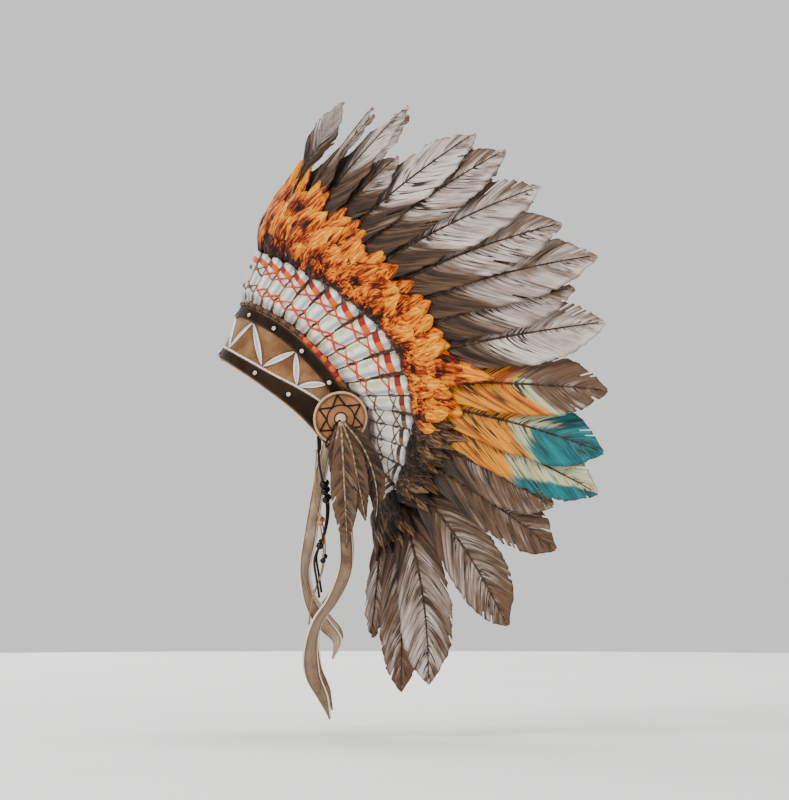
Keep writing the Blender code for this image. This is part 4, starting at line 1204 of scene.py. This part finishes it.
def brow_band():
    """Leather band with a slight swell in each panel between the quilled strips, and painted shade
    on each panel beside the strips.
    """
    angles = band_angles(260)
    degrees = np.degrees(angles)
    rows = 26
    near = np.ones((len(angles), rows))
    for (start, first), (end, last) in zigzag_sides():
        along = np.clip((degrees - start) / (end - start), 0, 1)
        gap = np.abs(np.linspace(0, 1, rows) - (first + along * (last - first))[:, None])
        inside = (degrees >= start - 2) & (degrees <= end + 2)
        near = np.where(inside[:, None], np.minimum(near, gap / 0.18), near)
    puff = PANEL_SWELL * smooth_step(near, 0.0, 1.0) - PANEL_SINK
    # Painted shade: the panels darkened beside the quilled strips
    painted_shade = PANEL_SHADE * (1 - smooth_step(near, 0.1, 0.9))
    return ring_strip(angles, *band_edges(angles), BAND_SEAT, BAND_FACE, PANEL_ROUNDING, rows,
                      puff, 0.5, painted_shade)


def edge_strips():
    """Dark leather strips along both edges of the band, folded over at their edges."""
    angles = band_angles(240)
    upper, lower = edge_widths(angles)
    low, high = band_edges(angles)
    low, high = low + EDGE_INSET, high - EDGE_INSET
    return [ring_strip(angles, bottom, top, STRIP_SEAT, STRIP_FACE, STRIP_ROUNDING, rows,
                       wear=0.8)
            for bottom, top, rows in ((high - upper, high, 14), (low, low + lower, 16))]


def band_piping():
    """Pale piping along the upper edge of the lower strip."""
    angles = band_angles(420, 2)
    up = ring_height(BAND_LOW, angles) + edge_widths(angles)[1] + PIPING_RISE
    path = cap_point(angles, up, PIPING_SEAT)
    return rope(path, cap_outward(angles), PIPING_RADIUS)


def studs():
    """Domed pearl studs in dark rings, on both dark strips."""
    lean = np.linspace(0, 1.35, 6)
    dome = np.stack([np.cos(lean), 0.15 + 0.75 * np.sin(lean)], axis=1)
    pieces = []
    for places, edge in ((UPPER_STUDS, BAND_HIGH), (LOWER_STUDS, BAND_LOW)):
        for degrees in sorted({side * at for at in places for side in (-1, 1)}):
            angle = math.radians(degrees)
            upper, lower = edge_widths(angle)
            inset = (-EDGE_INSET - STUD_UP * upper if edge is BAND_HIGH
                     else EDGE_INSET + STUD_DOWN * lower)
            up = ring_height(edge, angle) + inset
            seat = cap_point(angle, up, STUD_SEAT)
            side = unit(cap_point(angle + 0.01, up, BAND_FACE)
                        - cap_point(angle - 0.01, up, BAND_FACE))
            for profile, finish in ((STUD_RING, 1), (dome, 0)):
                pieces.append(turned(seat, cap_outward(angle), side,
                                     np.array(profile) * STUD_RADIUS, 20, finish=finish))
    return joined(pieces)


def quill_lenses():
    """Flat strips of quillwork between the corners of the zigzag, widest in their middle."""
    across = np.linspace(-1, 1, 7)
    along = np.linspace(0, 1, 30)
    share = LENS_MARGIN + (1 - 2 * LENS_MARGIN) * along
    wide = LENS_HALF_WIDTH * np.sin(math.pi * along) ** 0.75 + 0.15 * MM
    pieces = []
    for (start, first), (end, last) in zigzag_sides():
        angle = np.radians(start + share * (end - start))
        low, high = band_edges(angle)
        up = low + (first + share * (last - first)) * (high - low)
        path = cap_point(angle, up, LENS_SEAT)
        outward = cap_outward(angle)
        beside = unit(np.cross(outward, unit(np.gradient(path, axis=0))))
        points = (path[:, None] + beside[:, None] * (wide[:, None] * across)[..., None]
                  + outward[:, None] * (LENS_SWELL * (1 - 0.6 * across ** 2))[:, None])
        pieces.append(shell(points, -outward[:, None] * LENS_THICKNESS,
                            {"lens": stacked(across, along[:, None], 0.0)},
                            grid_faces(len(along), len(across))[:, ::-1]))
    return joined(pieces)


def bead_roll():
    """Beaded roll along the band's upper edge: a tube that swells at each bead."""
    angles = band_angles(721)
    degrees = np.degrees(angles)
    lump = ((degrees + BAND_END) / BEAD_STEP)[:, None]
    path = cap_point(angles, ring_height(BAND_HIGH, angles) + ROLL_RISE, ROLL_OUT)
    radius = ROLL_RADIUS * (0.92 + 0.26 * np.abs(np.sin(math.pi * lump[:, 0])) ** 0.6)
    kept = stacked(lump % 1, np.abs(degrees)[:, None], np.floor(lump) % 2)
    return rope(path, cap_outward(angles), radius, 10, values={"roll": kept})


def rosette_frame():
    """Middle of the left rosette's seat, level and plumb directions in its plane, and outwards."""
    ahead, behind = (cap_point(ROSETTE_ANGLE + turn, ROSETTE_UP, BAND_FACE)
                     for turn in (0.01, -0.01))
    above, below = (cap_point(ROSETTE_ANGLE, ROSETTE_UP + rise, BAND_FACE) for rise in (MM, -MM))
    outward = unit(np.cross(unit(ahead - behind), above - below))
    level = unit(np.array([0.0, 1.0, 0.0]) - outward[1] * outward)
    middle = cap_point(ROSETTE_ANGLE, ROSETTE_UP, ROSETTE_SEAT)
    return middle, np.stack([level, np.cross(outward, level)]), outward


ROSETTE_MIDDLE, ROSETTE_PLANE, ROSETTE_OUT = rosette_frame()


def rosette_disc():
    """Turned leather disc: boss, back, beaded rim, a dished face, and a small hub."""
    radius, height = np.array(ROSETTE_PROFILE).T
    # The rim is made paler, partly wear and partly a painted highlight; the groove is darkened as
    # painted shade; the hub is a whitish button
    rim = np.exp(-((radius - 26.8) / 1.2) ** 2) * (height > 5)
    groove = np.exp(-((radius - 24.5) / 0.5) ** 2) * (height > 5)
    hub = (radius < 6.0) * (height > 7)
    kept = stacked((rim * 0.9 + hub)[:, None], (groove * 0.7)[:, None], 0.0)
    return turned(ROSETTE_MIDDLE, ROSETTE_OUT, ROSETTE_PLANE[0], np.array(ROSETTE_PROFILE) * MM,
                  72, {"wear": kept})


def polar(radius, angle):
    """Places in a plane at a radius and at angles."""
    return radius * np.stack([np.cos(angle), np.sin(angle)], axis=-1)


def rosette_lines():
    """Stitched dark lines of the rosette: six triangles round a ring, an inner ring and a lace."""
    turns = np.linspace(0, 2 * math.pi, 60)
    lines = [(polar(STAR_RING, turns), 0.2, 0.75), (polar(HUB_RING, turns), 0.6, 0.75)]
    share = np.linspace(0, 1, 8)[:, None]
    for at in STAR_POINTS:
        for foot in (at - STAR_FOOT, at + STAR_FOOT):
            lines.append(((1 - share) * polar(STAR_RADIUS, math.radians(at))
                          + share * polar(STAR_RING, math.radians(foot)), 0.0, 0.95))
    share = np.linspace(0, 1, 24)
    for side in (-1, 1):
        x = -1 - 14 * share + side * 2.6 * np.sin(math.pi * 2 * share)
        lines.append((stacked(x, -1 - 28 * share) * MM, 1.5, 0.8))
    return joined([rope(ROSETTE_MIDDLE + flat @ ROSETTE_PLANE
                        + ROSETTE_OUT * (ROSETTE_FACE + lift * MM), ROSETTE_OUT, radius * MM)
                   for flat, lift, radius in lines])


def drop_line(rows, samples, layer, height):
    """Smooth curve of a side drop in side view, from a height over the rosette's seat.

    It starts in the plane of the rosette and swings into its own layer as it hangs.
    """
    rows = np.array([row[:2] for row in rows]) * FAN_RADIUS
    start = ROSETTE_MIDDLE + ROSETTE_OUT * height
    walked = distances(rows)
    runs = np.linspace(0, walked[-1], samples)
    back, down = (smooth_table(np.column_stack([walked, column]), runs) for column in rows.T)
    tilt = (ROSETTE_OUT[1] * back[0] - ROSETTE_OUT[2] * down[0]) / ROSETTE_OUT[0]
    swing = np.clip(runs / (2 * ROSETTE_RADIUS), 0, 1)
    face = (ROSETTE_MIDDLE + ROSETTE_OUT * ROSETTE_FACE)[0]
    out = (start[0] - tilt) * (1 - swing) + (face + layer * DROP_LAYER) * swing
    return np.stack([out, start[1] + back, start[2] - down], axis=-1)


def drop_feather(number):
    """One small hanging feather: a vane of swept barbs on a pale shaft."""
    rng = np.random.default_rng(DROP_SEED + number)
    rows = DROP_FEATHERS[number]
    line = drop_line(rows, 60, 2.3 - 0.7 * number, ROSETTE_FACE + 1.3 * MM)
    length = distances(line)[-1]
    outline = [(share, row[2]) for share, row in zip(np.linspace(0, 1, len(rows)), rows)]
    barb, across, run, aside, quads = vane(outline, 0.0, length, DROP_FEATHER_HALF_WIDTH, rng,
                                           random_splits(rng, 3), rows=72, columns=6, sweep=0.14)
    reach = np.abs(across)
    forward = unit(np.gradient(line, axis=0))
    beside = unit(np.cross(forward, (1.0, 0.0, 0.0)))
    frame_rows = np.hstack([line, beside, np.cross(beside, forward)])

    def carried(runs):
        """The line, the direction beside it and the direction above it at distances along it."""
        return np.split(at_runs(frame_rows, np.linspace(0, length, len(line)), runs), 3, axis=-1)

    wave = rng.uniform(0, 6, 2)
    rise = (1.6 * MM - 2.2 * MM * across ** 2 + 0.6 * MM * reach * np.sin(24 * barb + wave[0]))
    point, sideways, above = carried(run)
    points = moved(point, sideways, aside, above, rise)
    tones = stacked(0.05 + 0.2 * barb, 0.92 + 0.10 * number, 0.50 + 0.15 * number - 0.25 * reach)
    web = shell(points, -DROP_THICKNESS * above,
                {"blade": stacked(across, barb * 0.7, rng.uniform(0, 1)), "tones": tones}, quads)
    walk = np.linspace(0, SHAFT_END * length, 36)
    core, sideways, above = carried(walk)
    rings = rings_round(core + above * DROP_SHAFT_LIFT, sideways, above,
                        DROP_SHAFT_RADIUS - DROP_SHAFT_TAPER * walk / length, 7)
    return joined([web, tube(rings, finish=1)])


def ribbon(rows, layer, size):
    """A leather ribbon that twists as it hangs: a flat strip turned about its own line.

    Given with the mean width and the length that it had as a flat strip.
    """
    line = drop_line(rows, 120, layer, ROSETTE_BACK + ROSETTE_THICKNESS / 2)
    shares = np.linspace(0, 1, len(line))
    forward = unit(np.gradient(line, axis=0))
    turn = 0.9 * np.sin(2.4 * math.pi * np.clip(shares - 0.42, 0, 1))[:, None]
    flat = unit(np.cross(forward, (1.0, 0.0, 0.0)))
    width = flat * np.cos(turn) + np.cross(flat, forward) * np.sin(turn)
    lift = np.cross(width, forward)[:, None]
    half = RIBBON_HALF_WIDTH * size * np.interp(shares, [0, 0.1, 0.8, 0.93, 1],
                                                [0.75, 0.9, 1.25, 0.9, 0.15])
    across = np.linspace(-1, 1, 11)
    points = (line[:, None] + width[:, None] * (half[:, None] * across)[..., None]
              + lift * (1.0 * MM * (1 - across ** 2))[:, None])
    kept = stacked(across, np.clip(np.sin(turn), 0, 1), shares[:, None])
    made = shell(points, -lift * RIBBON_THICKNESS, {"ribbon": kept})
    return made, (float(2 * half.mean()), float(distances(line)[-1]))


def bead_string():
    """Thongs with their beads on the wearer's left: one dark, one tan and thinner."""
    pieces = []
    for rows, samples, layer, height, thong, beads in (
            (BEAD_STRING, 121, -0.2, ROSETTE_BACK + ROSETTE_THICKNESS / 2,
             (THONG_RADIUS * 0.9, 8, 0), BEADS),
            (TAN_STRING, 90, -0.9, ROSETTE_BACK, (0.8 * MM, 7, 2), TAN_BEADS)):
        line = drop_line(rows, samples, layer, height)
        radius, sides, finish = thong
        pieces.append(rope(line, (1.0, 0.0, 0.0), radius, sides, finish=finish))
        for share, size, finish in beads:
            at = int(share * (len(line) - 1))
            pieces.append(ball(line[at], line[at + 1] - line[at - 1], size, finish))
    return joined(pieces)


# Dressing


def dress_feathers(vanes, shaft):
    """Every long feather, each side with its own wear."""
    for side, seed in FEATHER_SEEDS.items():
        for place in range(FEATHERS_A_SIDE):
            number = f"{side}_{place + 1:02d}"
            add_piece(f"feather_{number}", on_side(side, crown_feather(place, seed + place)),
                      [vanes, shaft], [f"crown_feather_{number}"])


def dress_ring(shaft):
    """Plumes, wraps, cap and band, which go round both sides."""
    dark = leather_finish("dark_leather_strip", "#130a04", "#2c1c0e", "#5f442b")
    studding = [bead_finish("pearl_stud", "#b4978a", "#e2cdbf", 0.28),
                leather_finish("stud_rim", "#0d0805", "#1d130c", "#3a281a")]
    band = leather_finish("tan_leather", "#6a4629", "#97704c", "#c4a07a")
    piping = clouded_finish("pale_piping", "#b79a8c", "#f1e3dc", 700.0, (0.35, 0.65),
                            (0.2 * MM, 0.5), 0.7)
    top, bottom = edge_strips()
    for name, shape, finishes, slot, *replaced in (
            ("plumes", both_sides(plume_cover()), [plume_finish()], "plume", "plume_ring"),
            ("quill_wraps", both_sides(quill_wraps()), [wrap_finish()], "wrap_cloth",
             "wrap_collar"),
            ("lacing", both_sides(lacing()), [thread_finish()], "wrap_cloth"),
            ("groove_spikes", both_sides(groove_spikes()), [shaft], "feather"),
            ("felt_cap", cap_shell(), [felt_finish()], "cap_felt", "cap"),
            ("band_panel", brow_band(), [band], "band_leather", "brow_band"),
            ("upper_strip", top, [dark], "dark_leather", "band_edge_upper"),
            ("lower_strip", bottom, [dark], "dark_leather", "band_edge_lower"),
            ("band_piping", band_piping(), [piping], "pale_leather"),
            ("studs", studs(), studding, "dark_leather"),
            ("quill_lenses", quill_lenses(), [quill_finish()], "quillwork", "quill_zigzag"),
            ("bead_roll", bead_roll(), [roll_finish()], "beaded_roll", "top_roll")):
        add_piece(name, shape, finishes, replaced)


def dress_sides(vanes):
    """Rosettes and all that hangs under them."""
    disc = leather_finish("rosette_leather", "#85593a", "#b08058", "#dcbf9c")
    pale_shaft = shaft_finish("pale_shaft", "#664c35", "#b39a7e")
    cord = leather_finish("dark_thong", "#1c120b", "#33231a", "#4c382a")
    strung = [cord, bead_finish("black_glass", "#030303", "#0a0a0b", 0.25, 0.25),
              leather_finish("tan_thong", "#8d6238", "#b9864f", "#cfa676"),
              bead_finish("tan_bead", "#8f5d34", "#b9834f", 0.35)]
    hanging = joined([drop_feather(number) for number in range(len(DROP_FEATHERS))])
    for side in ("left", "right"):
        add_piece(f"rosette_disc_{side}", on_side(side, rosette_disc()), [disc],
                  [f"rosette_{side}"])
        add_piece(f"rosette_lines_{side}", on_side(side, rosette_lines()), [cord])
        add_piece(f"hanging_feathers_{side}", on_side(side, hanging), [vanes, pale_shaft],
                  [f"drop_feathers_{side}"])
        for length, rows, layer, size, colours in RIBBONS:
            strip, flat = ribbon(rows, layer, size)
            hide = suede_finish(f"ribbon_suede_{length}_{side}", *colours)
            made = add_piece(f"twisted_ribbon_{length}_{side}", on_side(side, strip), [hide],
                             [f"ribbon_{length}_{side}"])
        add_piece(f"bead_thongs_{side}", on_side(side, bead_string()), strung,
                  [f"bead_string_{side}"])


def set_stage():
    """Plain pale floor, soft studio lights and the side-view camera."""
    turns = circle(96)
    lowest = cad_box[0][2] - 20 * MM
    mesh = bpy.data.meshes.new("floor")
    mesh.from_pydata(stacked(FLOOR_RADIUS * np.cos(turns), FLOOR_RADIUS * np.sin(turns),
                             lowest).tolist(), [], [list(range(len(turns)))])
    finish = Finish("pale_floor", 0.85)
    grain = noise(finish.place, 3.0, 4.0)
    mesh.materials.append(finish.painted(grain.colours("#e6e5e2", "#efeeec")))
    placed("floor", mesh)

    middle = Vector(VIEW_MIDDLE)
    for name, place, size, power in LIGHTS:
        data = bpy.data.lights.new(name, "AREA")
        data.shape = "DISK"
        data.size = size
        data.energy = power
        placed(name, data, place, (middle - Vector(place)).to_track_quat("-Z", "Y").to_euler())
    world = bpy.data.worlds.new("studio")
    world.use_nodes = True
    back = world.node_tree.nodes["Background"]
    back.inputs["Color"].default_value = linear("#f2f2f1")
    back.inputs["Strength"].default_value = 1.0
    bpy.context.scene.world = world

    data = bpy.data.cameras.new("side_view")
    data.sensor_fit = "VERTICAL"
    data.sensor_height = SENSOR
    data.sensor_width = SENSOR
    data.lens = SENSOR * VIEW_DISTANCE / VIEW_HEIGHT
    data.clip_end = 100.0
    bpy.context.scene.camera = placed("side_view", data,
                                      middle + Vector((VIEW_DISTANCE + VIEW_PLANE, 0, 0)),
                                      (math.radians(90), 0, math.radians(90)))


feather_vanes = feather_finish()
dark_shaft = shaft_finish("dark_shaft", "#1f120a", "#5a4332")
dress_feathers(feather_vanes, dark_shaft)
dress_ring(dark_shaft)
dress_sides(feather_vanes)
set_stage()
